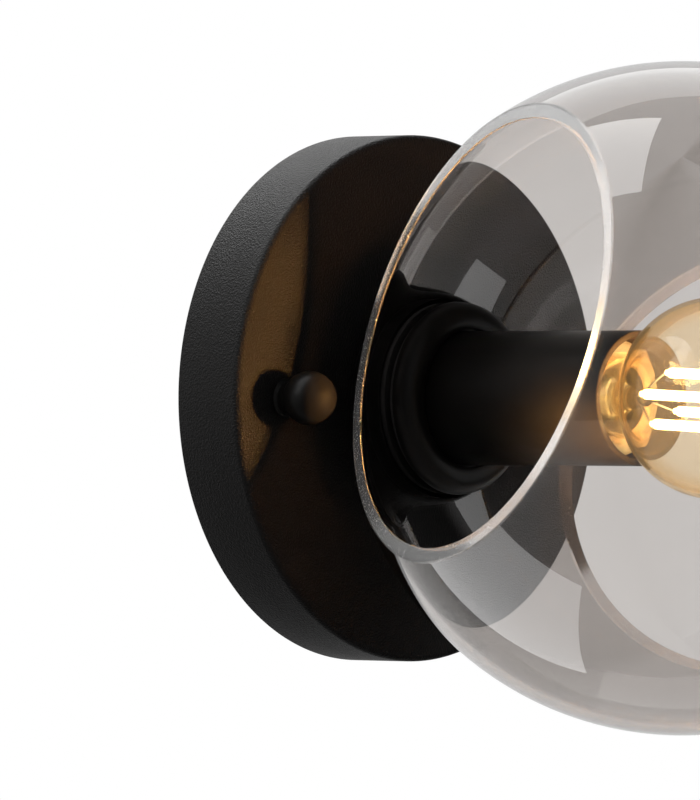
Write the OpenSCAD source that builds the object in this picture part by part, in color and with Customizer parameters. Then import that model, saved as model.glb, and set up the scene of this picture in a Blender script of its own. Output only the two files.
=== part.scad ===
// Globe wall sconce: a round canopy, a socket tube and a blown glass globe with two cut openings.
// The origin is the centre of the canopy's back on the wall. +Z is up and the lamp points along -Y.
// Each piece is drawn with z out from the wall and y up, and off_wall() turns it into that frame.

/* [Canopy] */
// Distance from a ball nut's middle to the canopy's edge
canopy_rim = 15.5; // [14:0.5:30]
// Depth of the canopy from the wall to its face
canopy_depth = 18.5; // [18:0.5:30]
// Thickness of the pressed sheet
canopy_wall = 1.2; // [0.8:0.1:1.5]
// Radius of the canopy's front edge
canopy_round = 1.6; // [1.5:0.1:4]

/* [Wall bracket] */
// How far the bracket runs past each stud
bar_past = 7.5; // [6:0.5:10]
// Width of the bracket
bar_width = 18; // [15:1:22]
// Thickness of the bracket's steel strip
bar_thick = 1.5; // [1:0.1:2]
// Distance from a stud to the top of the bracket's ramp
bar_landing = 6.5; // [5.5:0.5:8]
// Height of the raised ends above the wall
bar_lift = 4; // [3.6:0.1:5]
// Distance from a wall screw slot's end to the ramp's foot
slot_margin = 3; // [2:0.5:5]
// Width of a wall screw slot
slot_width = 4.5; // [4:0.1:5.5]
// Diameter of the hole for the supply cable
cable_hole_d = 12; // [8:1:12]

/* [Studs and ball nuts] */
// Diameter of the stud's thread
stud_d = 3.9; // [3.5:0.1:4.5]
// Length of stud that stands out of the canopy's face
stud_reach = 5.5; // [4:0.5:6]
// Diameter of the ball nut's head
ball_d = 12.2; // [11:0.2:12.6]
// Diameter of the ball nut's neck
ball_neck_d = 7.6; // [7:0.2:9]
// Height of the ball's middle above the canopy's face
ball_stand = 7.6; // [7:0.2:8]
// Gap between a ball nut and the glass
ball_clear = 3.45; // [3:0.05:8]

/* [Globe] */
// Outer diameter of the globe
globe_d = 150; // [140:1:170]
// Thickness of the glass
glass = 2.4; // [1.8:0.1:3]
// Gap between the canopy's face and the globe's back
globe_gap = 4.5; // [4.2:0.1:6]
// Height of the cap that each opening cuts off the globe
opening_depth = 21.35; // [16:0.05:24]
// Angle by which the openings lean back to the wall
opening_lean = 17.6; // [10:0.2:22]
// Angle by which the globe is turned on its seat
globe_turn = 16.5; // [-90:0.5:90]

/* [Seat and ring] */
// Width of the gasket on the seat
seat_gasket_width = 4.7; // [4:0.1:8]
// Thickness of the seat's floor
seat_floor = 3; // [2:0.5:3.5]
// Thickness of the seat's threaded collar round the tube
collar_wall = 1.7; // [1.4:0.1:2.2]
// Width of the gasket under the retaining ring
ring_gasket_width = 3.5; // [3:0.1:6]
// Height of the ring's crest above its outer edge
ring_rise = 4.7; // [4.4:0.1:6]
// Thickness of the gasket between the seat and the glass
outer_gasket_thick = 1.5; // [1:0.1:2]
// Thickness of the gasket between the ring and the glass
inner_gasket_thick = 0.8; // [0.6:0.1:1.2]

/* [Socket tube] */
// Outer diameter of the socket tube
tube_d = 30.4; // [30:0.1:31]
// Thickness of the tube's wall
tube_wall = 1.5; // [1:0.1:1.6]
// How far the tube reaches past the lampholder
tube_past = 6; // [4:0.5:8]

/* [Lampholder] */
// Gap between the ceramic body and the tube
holder_gap = 0.7; // [0.5:0.1:1.2]
// Height of the ceramic body above the tube's floor
holder_lift = 17; // [15:0.5:30]
// Length of the ceramic body
holder_length = 40; // [38:0.5:40]
// Gap between the bulb's screw cap and the screw shell
shell_gap = 0.25; // [0.1:0.05:0.4]
// Height of the screw shell
shell_height = 18; // [14:0.5:18]
// Thickness of the screw shell
shell_wall = 0.45; // [0.3:0.05:0.6]

/* [Bulb] */
// Diameter of the round bulb
bulb_d = 45; // [42:0.5:50]
// Length of the bulb's straight neck above its cap
neck_length = 4.3; // [3:0.1:12]
// Diameter of the bulb's neck
neck_d = 18.4; // [17.8:0.1:19]
// Diameter of the bulb's screw cap
cap_d = 13.9; // [13.6:0.1:14]
// Length of the bulb's screw cap
cap_length = 26; // [25:0.5:27]
// Distance from a glowing stick's far end to the bulb's front
stick_room = 10; // [8:0.5:16]
// Diameter of a glowing stick
stick_d = 1.8; // [1.2:0.1:2.2]

/* [Hidden] */

$fn = 96;
// Cuts run past a face by this much
over = 1;
// Radial clearance of a threaded or sliding fit
fit_gap = 0.05;
// Radial clearance of a hole that only locates a piece
hole_gap = 0.15;
// Gap that keeps a turning or sliding piece clear of a curved neighbour
clear_gap = 0.3;
// Radial gap around a piece that passes through a hole
pass_gap = 0.5;
// Number of steps in a long arc and in a short one
long_steps = 36;
short_steps = 8;
// Number of sides of a thin wire
wire_sides = 24;

// Globe, and the ball nuts that stand clear of it on the canopy's face
face = canopy_depth;
inner_face = face - canopy_wall;
globe_r = globe_d / 2;
globe_z = face + globe_gap + globe_r;
inside_r = globe_r - glass;
ball_r = ball_d / 2;
nut_reach = globe_r + ball_clear + ball_r;
nut_drop = globe_z - face - ball_stand;
nut_x = sqrt(nut_reach * nut_reach - nut_drop * nut_drop);
canopy_r = nut_x + canopy_rim;

// Bracket, from its end to the cable hole
bar_half = nut_x + bar_past;
ramp_out = nut_x - bar_landing;
ramp_in = ramp_out - bar_lift;
cable_hole_r = cable_hole_d / 2;
earth_gap = 4.5;
earth_x = cable_hole_r + earth_gap;
slot_in = earth_x + earth_gap;
slot_out = ramp_in - slot_margin;
slot_x = (slot_in + slot_out) / 2;
slot_length = slot_out - slot_in;

// Threaded tube and the nuts that tie the lamp together
nipple_r = 4.95;
nipple_bore_r = 4;
nipple_hole_r = nipple_r + hole_gap;
washer_r = 8.5;
washer_thick = 1;
washer_teeth = 12;
washer_notch = 1;
hex_across = 14;
hex_thick = 3;
hex_chamfer = 0.6;
nipple_tail = 1.5;
nipple_end = 1.4;
nipple_low = inner_face - washer_thick - hex_thick - nipple_tail;

// Studs and ball nuts
stud_r = stud_d / 2;
stud_hole_r = stud_r + pass_gap;
stud_head_r = 3.8;
stud_head_thick = 2.4;
stud_head_round = 1.2;
drive_length = 3.8;
drive_width = 1;
drive_deep = 1;
lock_across = 7;
lock_thick = 3.2;
ball_neck_r = ball_neck_d / 2;
ball_foot = 1.2;
ball_foot_lip = 0.7;
ball_bore_r = stud_r + fit_gap;
ball_bore_spare = 1.5;
ball_bore_deep = stud_reach + ball_bore_spare;

// Openings, gaskets and ring, which share the globe's centre
cut_distance = globe_r - opening_depth;
tube_r = tube_d / 2;
collar_r = tube_r + collar_wall;
globe_hole_r = collar_r + pass_gap;
gasket_margin = 1;
seat_r = globe_hole_r + seat_gasket_width + gasket_margin;
dish_r = globe_r + clear_gap + outer_gasket_thick;
seat_round = 0.8;
ring_r = globe_hole_r + ring_gasket_width + gasket_margin;
ring_bore_r = collar_r + 2 * fit_gap;
gasket_back_r = inside_r - clear_gap - inner_gasket_thick;
ring_back_r = gasket_back_r - clear_gap;
ring_edge = sphere_z(ring_back_r, ring_r);
ring_side = 0.2;
ring_bead = ring_rise - ring_side;
ring_top = ring_edge + ring_rise;
ring_lip_thick = 1.4;
// How far round the bead turns before it meets the tube
bead_turn = 115;
collar_top = ring_top - ring_lip_thick - clear_gap;
collar_chamfer = 0.6;

// Socket tube
tube_bore_r = tube_r - tube_wall;
tube_edge = 0.4;
tube_floor = 1.5;
seat_top = face + seat_floor;
tube_foot = seat_top + tube_floor;
ring_lip_r = tube_r + pass_gap;

// Lampholder and its yoke
holder_r = tube_bore_r - holder_gap;
holder_head = 27;
holder_low = tube_foot + holder_lift;
holder_top = holder_low + holder_length;
tube_mouth = holder_top + tube_past;
tip_z = holder_top - holder_head;
level_step = 1;
holder_step = tip_z - level_step;
holder_lip = 0.8;
holder_waist = 0.6;
holder_mouth_gap = 1.2;
holder_mouth_r = neck_d / 2 + holder_mouth_gap;
holder_mouth_deep = 6;
yoke_thick = 1.2;
yoke_width = 10;
yoke_foot_r = 8.5;
yoke_out = holder_r - holder_waist;
yoke_in = yoke_out - yoke_thick;
yoke_top = tube_foot + yoke_thick;
yoke_high = holder_step - yoke_thick;
nipple_high = yoke_top + hex_thick + nipple_end;
rivet_r = 1.5;
rivet_head_r = 2.4;
rivet_head = 0.7;
rivet_deep = 3;
rivet_z = (holder_low + yoke_high) / 2;
shell_bore_r = cap_d / 2 + shell_gap;
shell_r = shell_bore_r + shell_wall;
shell_low = tip_z + level_step;
shell_seat_r = shell_r + fit_gap;
chamber_r = 6;
chamber_deep = 3.5;
chamber_low = tip_z - chamber_deep;

// Spring tongue in the chamber: strip size, foot, ramp and pad along x
tongue_width = 5;
tongue_thick = 0.5;
tongue_foot_out = 4.2;
tongue_foot_in = 1.2;
tongue_ramp_low = 3;
tongue_ramp_high = 1.2;
tongue_pad = 3;
tongue_gap = 0.1;

// Terminals on the lampholder's back
terminal_x = 6.6;
terminal_width = 5;
terminal_high = 5.5;
terminal_bore_r = 1.1;
terminal_roof = 1;
terminal_head_r = 1.9;
terminal_head = 1.2;

// Bulb
bulb_r = bulb_d / 2;
neck_r = neck_d / 2;
shoulder_r = 8;
cap_top = tip_z + cap_length;
shoulder_out = neck_r + shoulder_r;
shoulder_reach = bulb_r + shoulder_r;
shoulder_drop = sqrt(shoulder_reach * shoulder_reach - shoulder_out * shoulder_out);
bulb_z = cap_top + neck_length + shoulder_drop;
neck_flare = 2.2;
envelope_wall = 0.8;
cap_r = cap_d / 2;
cap_wall = 0.35;
cap_lift = 3;
cap_low = tip_z + cap_lift;
skirt_high = 3.6;
skirt_slope = 1.2;
skirt_r = neck_r - envelope_wall;
tip_r = 2.4;
tip_high = 1.2;
insulator_low_r = 3.2;
insulator_sunk = 1.4;
neck_foot_r = skirt_r - cap_wall - fit_gap;
neck_low = cap_top - skirt_high + tube_edge;
stem_foot_r = neck_foot_r - envelope_wall - fit_gap;
stem_low = neck_low + tube_edge;
stem_r = 2.6;
stem_foot = 0.8;
stem_waist = 5;
stem_high = 8;
stem_neck = 1.5;
rod_r = 0.9;
rod_high = 3;

// Sticks stand in a cage on the stem, at these angles counted from the right
stick_angles = [69, 171, 248, 332];
stick_r = stick_d / 2;
stick_ring_r = 6.2;
stick_gap = 4;
stick_low = cap_top + stem_high + stick_gap;
stick_length = bulb_z + bulb_r - stick_room - stick_low;
cage_tilt = 2.5;
wire_r = 0.3;
wire_root_r = 1.6;
wire_root = 1;

// Wire of the leads
lead_r = 1;

// Terminal block on the bracket's lug
poles = 3;
pole_pitch = 8;
block_gap = 4;
block_deep = 17;
block_base = 4.5;
block_high = 11.5;
block_ear = 5;
block_y = bar_width / 2 + block_gap + block_deep / 2;
block_half = poles * pole_pitch / 2;
barrel_r = 3.4;
barrel_high = 6.2;
barrel_z = bar_thick + barrel_high;
tower_r = 2.7;
tower_y = 4;
insert_r = 2.3;
insert_bore_r = 1.6;
insert_short = 2;
clamp_r = 1.5;
clamp_hole_r = clamp_r + fit_gap;
clamp_sunk = 1.2;
clamp_low = barrel_z + lead_r + clear_gap;
clamp_slot = 0.6;
clamp_slot_deep = 0.7;
ear_x = block_half + block_ear / 2;
ear_screw_r = 1.4;
ear_head_r = 2.3;
ear_head = 1.4;
lug_margin = 1.5;

// Earth point on the bracket
earth_r = 1.9;
earth_head_r = 3.4;
earth_head = 2.2;
tag_r = 3.8;
tag_thick = 0.8;
tag_barrel_r = 1.5;
tag_barrel = 4;

// Leads: their bends, and how far they run into the terminals
lead_sides = 8;
lead_steps = 3;
lead_x = 1.9;
lead_bend = 3;
lead_ease = 1.2;
entry_y = block_y - block_deep / 2;
entry_deep = 6;
terminal_low = holder_low - terminal_high;
tag_end = tag_r + tag_barrel;

// Routes of the leads, from the lampholder or the earth tag into the terminal block
holder_route = [
    [terminal_x, 0, terminal_low + lead_bend],
    [terminal_x, 0, terminal_low - lead_ease / 2],
    [terminal_x - lead_ease, 0, terminal_low - lead_bend],
    [lead_x + lead_ease, 0, nipple_high + lead_ease],
    [lead_x + lead_ease / 4, 0, nipple_high - lead_bend],
    [lead_x, 0, (nipple_high + nipple_low) / 2],
    [lead_x, 0, nipple_low + lead_ease]];
live_route = concat([for (p = holder_route) [-p[0], p[1], p[2]]], [
    [-lead_x - lead_ease / 4, -lead_ease, nipple_low - lead_ease],
    [-2 * lead_x, -lead_bend - lead_ease, barrel_z + lead_ease / 2],
    [-pole_pitch + lead_ease / 2, -entry_y + lead_bend, barrel_z],
    [-pole_pitch, -entry_y - lead_ease, barrel_z],
    [-pole_pitch, -entry_y - entry_deep, barrel_z]]);
neutral_route = concat(holder_route, [
    [lead_x, -lead_ease, nipple_low - lead_ease],
    [lead_x - lead_ease / 2, -lead_bend - lead_ease, barrel_z + lead_ease / 2],
    [lead_ease / 4, -entry_y + lead_bend, barrel_z],
    [0, -entry_y - lead_ease, barrel_z],
    [0, -entry_y - entry_deep, barrel_z]]);
earth_route = [
    [earth_x, lead_bend - tag_end, bar_thick + tag_barrel_r],
    [earth_x, lead_ease - tag_end, bar_thick + tag_barrel_r],
    [earth_x, -lead_ease - tag_end, bar_thick + tag_barrel_r],
    [(earth_x + pole_pitch) / 2, -(tag_end + lead_ease + entry_y) / 2,
     (bar_thick + tag_barrel_r + barrel_z) / 2],
    [pole_pitch, -entry_y - lead_ease / 2, barrel_z],
    [pole_pitch, -entry_y - entry_deep, barrel_z]];

// Turn a piece drawn out from the wall into the part's frame
module off_wall() rotate([90, 0, 0]) children();

// Repeat a piece at both sides
module both(x) for (side = [-1, 1]) translate([side * x, 0, 0]) children();

// Distance out from the wall of a sphere about the globe's centre, at a radius from the axis
function sphere_z(sphere_r, r) = globe_z - sqrt(sphere_r * sphere_r - r * r);

module globe_ball(r) translate([0, 0, globe_z]) sphere(r = r);

// Points of an arc about a middle, for outlines
function arc(mid, r, from, to, steps) =
    [for (i = [0 : steps]) let (a = from + (to - from) * i / steps) mid + r * [cos(a), sin(a)]];

// A round bore along z that runs past both faces
module bore(r, low, high) translate([0, 0, low - over]) cylinder(r = r, h = high - low + 2 * over);

module pipe(outer_r, inner_r, low, high) difference() {
    translate([0, 0, low]) cylinder(r = outer_r, h = high - low);
    bore(inner_r, low, high);
}

// A hexagonal nut with turned corners and a round bore
module hex_nut(across, thick, bore_r) {
    corner_r = across / 2 / cos(30);
    difference() {
        intersection() {
            cylinder(r = corner_r, h = thick, $fn = 6);
            rotate_extrude() polygon([
                [0, 0], [corner_r - hex_chamfer, 0], [corner_r, hex_chamfer / 2],
                [corner_r, thick - hex_chamfer / 2], [corner_r - hex_chamfer, thick], [0, thick]]);
        }
        bore(bore_r, 0, thick);
    }
}

// A thin straight wire between two points
module wire(p, q) {
    v = q - p;
    translate(p) rotate([0, acos(v[2] / norm(v)), atan2(v[1], v[0])])
        cylinder(r = wire_r, h = norm(v), $fn = wire_sides);
}

// A slot through a plate, along x, with round ends
module slot(length, width, thick) {
    middle = length - width;
    translate([-middle / 2, -width / 2, -over]) cube([middle, width, thick + 2 * over]);
    both(middle / 2) bore(width / 2, 0, thick);
}

// A soft lead along a smooth line through its route's points
function smooth_point(a, b, c, d, t) = (2 * b + (c - a) * t + (2 * a - 5 * b + 4 * c - d) * t * t
    + (3 * b - a - 3 * c + d) * t * t * t) / 2;
function smooth_line(points) = let (last = len(points) - 1) concat(
    [for (i = [0 : last - 1], k = [0 : lead_steps - 1]) smooth_point(
        points[max(i - 1, 0)], points[i], points[i + 1], points[min(i + 2, last)], k / lead_steps)],
    [points[last]]);
function heading(line, i) = let (v = line[min(i + 1, len(line) - 1)] - line[max(i - 1, 0)]) v / norm(v);
function lead_ring(line, i) = let (
        t = heading(line, i),
        side = cross(t, [1, 0, 0]),
        u = side / norm(side),
        w = cross(t, u))
    [for (k = [0 : lead_sides - 1]) let (a = 360 * k / lead_sides)
        line[i] + lead_r * (cos(a) * u + sin(a) * w)];
module lead(route) {
    line = smooth_line(route);
    n = lead_sides;
    last = len(line) - 1;
    polyhedron(
        points = [for (i = [0 : last]) each lead_ring(line, i)],
        faces = concat(
            [for (k = [1 : n - 2]) [0, k, k + 1]],
            [for (i = [0 : last - 1], k = [0 : n - 1]) let (m = (k + 1) % n)
                [i * n + k, i * n + n + k, i * n + m]],
            [for (i = [0 : last - 1], k = [0 : n - 1]) let (m = (k + 1) % n)
                [i * n + m, i * n + n + k, i * n + n + m]],
            [for (k = [1 : n - 2]) [last * n, last * n + k + 1, last * n + k]]));
}

// Pressed steel dome with an open back, a middle hole and two stud holes
module canopy() color("#1b1a1a") off_wall() difference() {
    rotate_extrude() polygon(concat(
        [[0, inner_face], [0, face]],
        arc([canopy_r - canopy_round, face - canopy_round], canopy_round, 90, 0, short_steps),
        [[canopy_r, 0], [canopy_r - canopy_wall, 0], [canopy_r - canopy_wall, face - canopy_round],
         [canopy_r - canopy_round, inner_face]]));
    bore(nipple_hole_r, inner_face, face);
    both(nut_x) bore(stud_hole_r, inner_face, face);
}

// Steel strip that lies on the wall, with raised ends for the stud heads and a lug for the terminal block
module crossbar() color("#b9bbbc") off_wall() difference() {
    end_x = bar_half - bar_width / 2;
    lug_half = block_half + block_ear;
    lug_reach = block_y + block_deep / 2 + lug_margin;
    union() {
        intersection() {
            rotate([90, 0, 0]) linear_extrude(height = bar_width, center = true) polygon([
                [-bar_half, bar_lift], [-bar_half, bar_lift + bar_thick],
                [-ramp_out, bar_lift + bar_thick], [-ramp_in, bar_thick],
                [ramp_in, bar_thick], [ramp_out, bar_lift + bar_thick],
                [bar_half, bar_lift + bar_thick], [bar_half, bar_lift],
                [ramp_out, bar_lift], [ramp_in, 0], [-ramp_in, 0], [-ramp_out, bar_lift]]);
            union() {
                translate([-end_x, -bar_width / 2, -over])
                    cube([2 * end_x, bar_width, bar_lift + bar_thick + 2 * over]);
                both(end_x) bore(bar_width / 2, 0, bar_lift + bar_thick);
            }
        }
        translate([-lug_half, -lug_reach, 0])
            cube([2 * lug_half, lug_reach - bar_width / 4, bar_thick]);
    }
    bore(cable_hole_r, 0, bar_thick);
    both(slot_x) slot(slot_length, slot_width, bar_thick);
    both(nut_x) bore(stud_r + fit_gap, bar_lift, bar_lift + bar_thick);
    translate([earth_x, 0, 0]) bore(earth_r + fit_gap, 0, bar_thick);
    translate([0, -block_y, 0]) both(ear_x) bore(ear_screw_r + fit_gap, 0, bar_thick);
}

// Pan head screws put through the bracket's ends from behind
module studs() color("#9a9c9e") off_wall() both(nut_x) difference() {
    union() {
        translate([0, 0, bar_lift - stud_head_thick]) rotate_extrude() polygon(concat(
            [[0, 0]],
            arc([stud_head_r - stud_head_round, stud_head_round], stud_head_round, -90, 0, short_steps),
            [[stud_head_r, stud_head_thick], [0, stud_head_thick]]));
        translate([0, 0, bar_lift]) cylinder(r = stud_r, h = face + stud_reach - bar_lift);
    }
    for (turn = [0, 90]) rotate([0, 0, turn])
        translate([-drive_length / 2, -drive_width / 2, bar_lift - stud_head_thick - over])
            cube([drive_length, drive_width, drive_deep + over]);
}

module stud_lock_nuts() color("#a7a9ab") off_wall() both(nut_x) translate([0, 0, bar_lift + bar_thick])
    hex_nut(lock_across, lock_thick, stud_r + fit_gap);

// Cap nut with a foot, a neck, a ball head and a blind bore
module ball_nut() difference() {
    meet_z = ball_stand - sqrt(ball_r * ball_r - ball_neck_r * ball_neck_r);
    rotate_extrude() polygon(concat(
        [[0, 0], [ball_neck_r + ball_foot_lip, 0], [ball_neck_r + ball_foot_lip, ball_foot / 2],
         [ball_neck_r, ball_foot]],
        arc([0, ball_stand], ball_r, atan2(meet_z - ball_stand, ball_neck_r), 90, long_steps)));
    translate([0, 0, -over]) cylinder(r = ball_bore_r, h = ball_bore_deep + over);
}

module ball_nut_left() color("#1b1a1a") off_wall() translate([-nut_x, 0, face]) ball_nut();

module ball_nut_right() color("#1b1a1a") off_wall() translate([nut_x, 0, face]) ball_nut();

module nipple() color("#c9a54a") off_wall()
    pipe(nipple_r, nipple_bore_r, nipple_low, nipple_high);

module nipple_washer() color("#a7a9ab") off_wall() translate([0, 0, inner_face - washer_thick]) difference() {
    pipe(washer_r, nipple_r + fit_gap, 0, washer_thick);
    for (i = [0 : washer_teeth - 1]) rotate([0, 0, i * 360 / washer_teeth]) translate([washer_r, 0, 0])
        bore(washer_notch, 0, washer_thick);
}

module nipple_nut() color("#c9a54a") off_wall() translate([0, 0, inner_face - washer_thick - hex_thick])
    hex_nut(hex_across, hex_thick, nipple_r + fit_gap);

// Turned seat: a flange dished to the globe's curve, and a collar that goes through the glass
module seat_cup() color("#1d1c1c") off_wall() difference() {
    union() {
        difference() {
            rotate_extrude() polygon(concat(
                [[0, face], [seat_r - seat_round, face]],
                arc([seat_r - seat_round, face + seat_round], seat_round, -90, 0, short_steps),
                [[seat_r, collar_top], [0, collar_top]]));
            globe_ball(dish_r);
        }
        rotate_extrude() polygon([
            [0, face], [collar_r, face], [collar_r, collar_top - collar_chamfer],
            [collar_r - collar_chamfer, collar_top], [0, collar_top]]);
    }
    translate([0, 0, seat_top]) cylinder(r = tube_r + fit_gap, h = collar_top - seat_top + over);
    bore(nipple_hole_r, face, seat_top);
}

// Rubber ring between the seat's dish and the glass
module outer_gasket() color("#242323") off_wall() difference() {
    intersection() {
        globe_ball(dish_r);
        cylinder(r = seat_r - gasket_margin, h = globe_z);
    }
    globe_ball(globe_r + clear_gap);
    cylinder(r = globe_hole_r, h = globe_z);
}

// Blown glass: a round shell, a hole for the collar, and two openings ground flat
module globe() color("#6f6a66", 0.45) off_wall() difference() {
    globe_ball(globe_r);
    globe_ball(inside_r);
    cylinder(r = globe_hole_r, h = globe_z);
    for (side = [0, 180]) translate([0, 0, globe_z])
        rotate([0, 0, side - globe_turn]) rotate([0, -90 - opening_lean, 0])
            translate([0, 0, cut_distance]) cylinder(r = globe_r, h = globe_r);
}

// Silicone ring between the retaining ring and the glass
module inner_gasket() color("#2a2929") off_wall() difference() {
    intersection() {
        globe_ball(inside_r - clear_gap);
        cylinder(r = ring_r - gasket_margin, h = globe_z);
    }
    globe_ball(gasket_back_r);
    cylinder(r = globe_hole_r, h = globe_z);
}

// Threaded ring: its back follows the glass and its front is a round bead that dips to the tube
module retaining_ring() color("#1a1919") off_wall() difference() {
    middle = [ring_r - ring_bead, ring_edge + ring_side];
    bead_line = arc(middle, ring_bead, 0, bead_turn, 2 * short_steps);
    intersection() {
        rotate_extrude() polygon(concat(
            [[0, face], [ring_r, face]], bead_line, [[0, bead_line[2 * short_steps][1]]]));
        globe_ball(ring_back_r);
    }
    bore(ring_lip_r, face, ring_top);
    translate([0, 0, face]) cylinder(r = ring_bore_r, h = ring_top - ring_lip_thick - face);
}

// Drawn tube with a drilled floor and softened mouth
module socket_tube() color("#1a1919") off_wall() difference() {
    rotate_extrude() polygon([
        [0, seat_top], [tube_r, seat_top], [tube_r, tube_mouth - tube_edge],
        [tube_r - tube_edge, tube_mouth], [tube_bore_r + tube_edge, tube_mouth],
        [tube_bore_r, tube_mouth - tube_edge], [tube_bore_r, tube_foot], [0, tube_foot]]);
    bore(nipple_hole_r, seat_top, tube_foot);
}

// Bent strip that carries the lampholder on the threaded tube
module holder_yoke() color("#b4b6b8") off_wall() difference() {
    union() {
        rotate([90, 0, 0]) linear_extrude(height = yoke_width, center = true) polygon([
            [-yoke_out, tube_foot], [yoke_out, tube_foot], [yoke_out, yoke_high], [yoke_in, yoke_high],
            [yoke_in, yoke_top], [-yoke_in, yoke_top], [-yoke_in, yoke_high], [-yoke_out, yoke_high]]);
        translate([0, 0, tube_foot]) cylinder(r = yoke_foot_r, h = yoke_thick);
    }
    bore(nipple_r + fit_gap, tube_foot, yoke_top);
    translate([0, 0, rivet_z]) rotate([0, 90, 0]) bore(rivet_r, -yoke_out, yoke_out);
}

module yoke_nut() color("#c9a54a") off_wall() translate([0, 0, yoke_top])
    hex_nut(hex_across, hex_thick, nipple_r + fit_gap);

module yoke_rivets() color("#c2a052") off_wall() for (side = [-90, 90])
    translate([0, 0, rivet_z]) rotate([0, side, 0]) {
        translate([0, 0, yoke_in - rivet_deep]) cylinder(r = rivet_r, h = rivet_deep + yoke_thick);
        translate([0, 0, yoke_out]) cylinder(r = rivet_head_r, h = rivet_head);
    }

// Ceramic body with a stepped bore for the tongue, the shell and the bulb's neck
module holder_body() color("#e8e4da") off_wall() difference() {
    rotate_extrude() polygon([
        [0, holder_low], [yoke_out, holder_low], [yoke_out, holder_step],
        [holder_r, holder_step + holder_waist], [holder_r, holder_top - holder_lip],
        [holder_r - holder_lip, holder_top], [0, holder_top]]);
    both(yoke_in + holder_r / 2) translate([-holder_r / 2, -yoke_width / 2, holder_low - over])
        cube([holder_r, yoke_width, yoke_high - holder_low + over]);
    for (side = [-90, 90]) translate([0, 0, rivet_z]) rotate([0, side, 0])
        translate([0, 0, yoke_in - rivet_deep]) cylinder(r = rivet_r, h = holder_r);
    translate([0, 0, chamber_low]) cylinder(r = chamber_r, h = holder_length);
    translate([0, 0, shell_low]) cylinder(r = shell_seat_r, h = holder_length);
    translate([0, 0, holder_top - holder_mouth_deep]) cylinder(r = holder_mouth_r, h = holder_length);
}

module screw_shell() color("#c9a54a") off_wall()
    pipe(shell_r, shell_bore_r, shell_low, shell_low + shell_height);

// Spring tongue under the bulb's tip
module centre_contact() color("#c9a54a") off_wall() {
    pad = tip_z - tongue_gap;
    rotate([90, 0, 0]) linear_extrude(height = tongue_width, center = true) polygon([
        [-tongue_foot_out, chamber_low], [tongue_foot_in, chamber_low],
        [tongue_foot_in, chamber_low + tongue_thick], [-tongue_ramp_low, chamber_low + tongue_thick],
        [-tongue_ramp_high, pad - tongue_thick], [tongue_pad, pad - tongue_thick], [tongue_pad, pad],
        [-tongue_ramp_high - tongue_thick, pad], [-tongue_foot_out, chamber_low + tongue_thick]]);
}

// Two brass terminals with their screws on the lampholder's back
module holder_terminals() color("#c9a54a") off_wall() both(terminal_x)
    translate([0, 0, holder_low - terminal_high]) {
        difference() {
            translate([-terminal_width / 2, -terminal_width / 2, 0])
                cube([terminal_width, terminal_width, terminal_high]);
            translate([0, 0, -over])
                cylinder(r = terminal_bore_r, h = terminal_high - terminal_roof + over);
        }
        translate([0, terminal_width / 2, terminal_high / 2]) rotate([-90, 0, 0])
            cylinder(r = terminal_head_r, h = terminal_head);
    }

module bulb_cap() color("#c9b27a") off_wall() {
    foot = cap_top - skirt_high;
    rotate_extrude() polygon([
        [cap_r - cap_wall, cap_low], [cap_r, cap_low], [cap_r, foot - skirt_slope], [skirt_r, foot],
        [skirt_r, cap_top], [skirt_r - cap_wall, cap_top], [skirt_r - cap_wall, foot],
        [cap_r - cap_wall, foot - skirt_slope]]);
}

module bulb_insulator() color("#141416") off_wall() difference() {
    low = tip_z + tip_high / 2;
    translate([0, 0, low]) cylinder(
        r1 = insulator_low_r, r2 = cap_r - cap_wall - fit_gap, h = cap_low + insulator_sunk - low);
    translate([0, 0, low - over]) cylinder(r = tip_r, h = tip_high / 2 + over);
}

module bulb_tip() color("#b8b9bb") off_wall() translate([0, 0, tip_z]) rotate_extrude() polygon(concat(
    [[0, 0]], arc([tip_r - tip_high / 2, tip_high / 2], tip_high / 2, -90, 0, short_steps),
    [[tip_r, tip_high], [0, tip_high]]));

// Outline of the bulb at a distance in from its outer face: foot, neck, shoulder and round front
function bulb_line(inset) = let (meet = atan2(shoulder_drop, shoulder_out))
    concat(
        [[neck_foot_r - inset, neck_low], [neck_foot_r - inset, cap_top],
         [neck_r - inset, cap_top + neck_flare]],
        arc([shoulder_out, bulb_z - shoulder_drop], shoulder_r + inset, 180, 180 - meet, short_steps),
        arc([0, bulb_z], bulb_r - inset, -meet, 90, long_steps));

module bulb_envelope() color("#e9d3a0", 0.4) off_wall() rotate_extrude() {
    inside = bulb_line(envelope_wall);
    polygon(concat(bulb_line(0), [for (i = [len(inside) - 1 : -1 : 0]) inside[i]]));
}

// Glass flare, pinched tube and rod in the bulb's neck
module bulb_stem() color("#e6d9b8", 0.6) off_wall() {
    pinch = cap_top + stem_high;
    rotate_extrude() polygon([
        [0, stem_low], [stem_foot_r, stem_low], [stem_foot_r, stem_low + stem_foot],
        [stem_r, stem_low + stem_waist], [stem_r, pinch], [rod_r, pinch + stem_neck],
        [rod_r, pinch + stem_neck + rod_high], [0, pinch + stem_neck + rod_high + rod_r]]);
}

// Stands what follows on the cage's tilted axis
module on_cage() translate([0, 0, stick_low]) rotate([cage_tilt, 0, 0]) children();
function on_ring(a, r, z) = [r * cos(a), r * sin(a), z];

module filaments() color("#ffd27a") off_wall() on_cage() for (a = stick_angles)
    translate(on_ring(a, stick_ring_r, 0)) cylinder(r = stick_r, h = stick_length, $fn = wire_sides);

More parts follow.
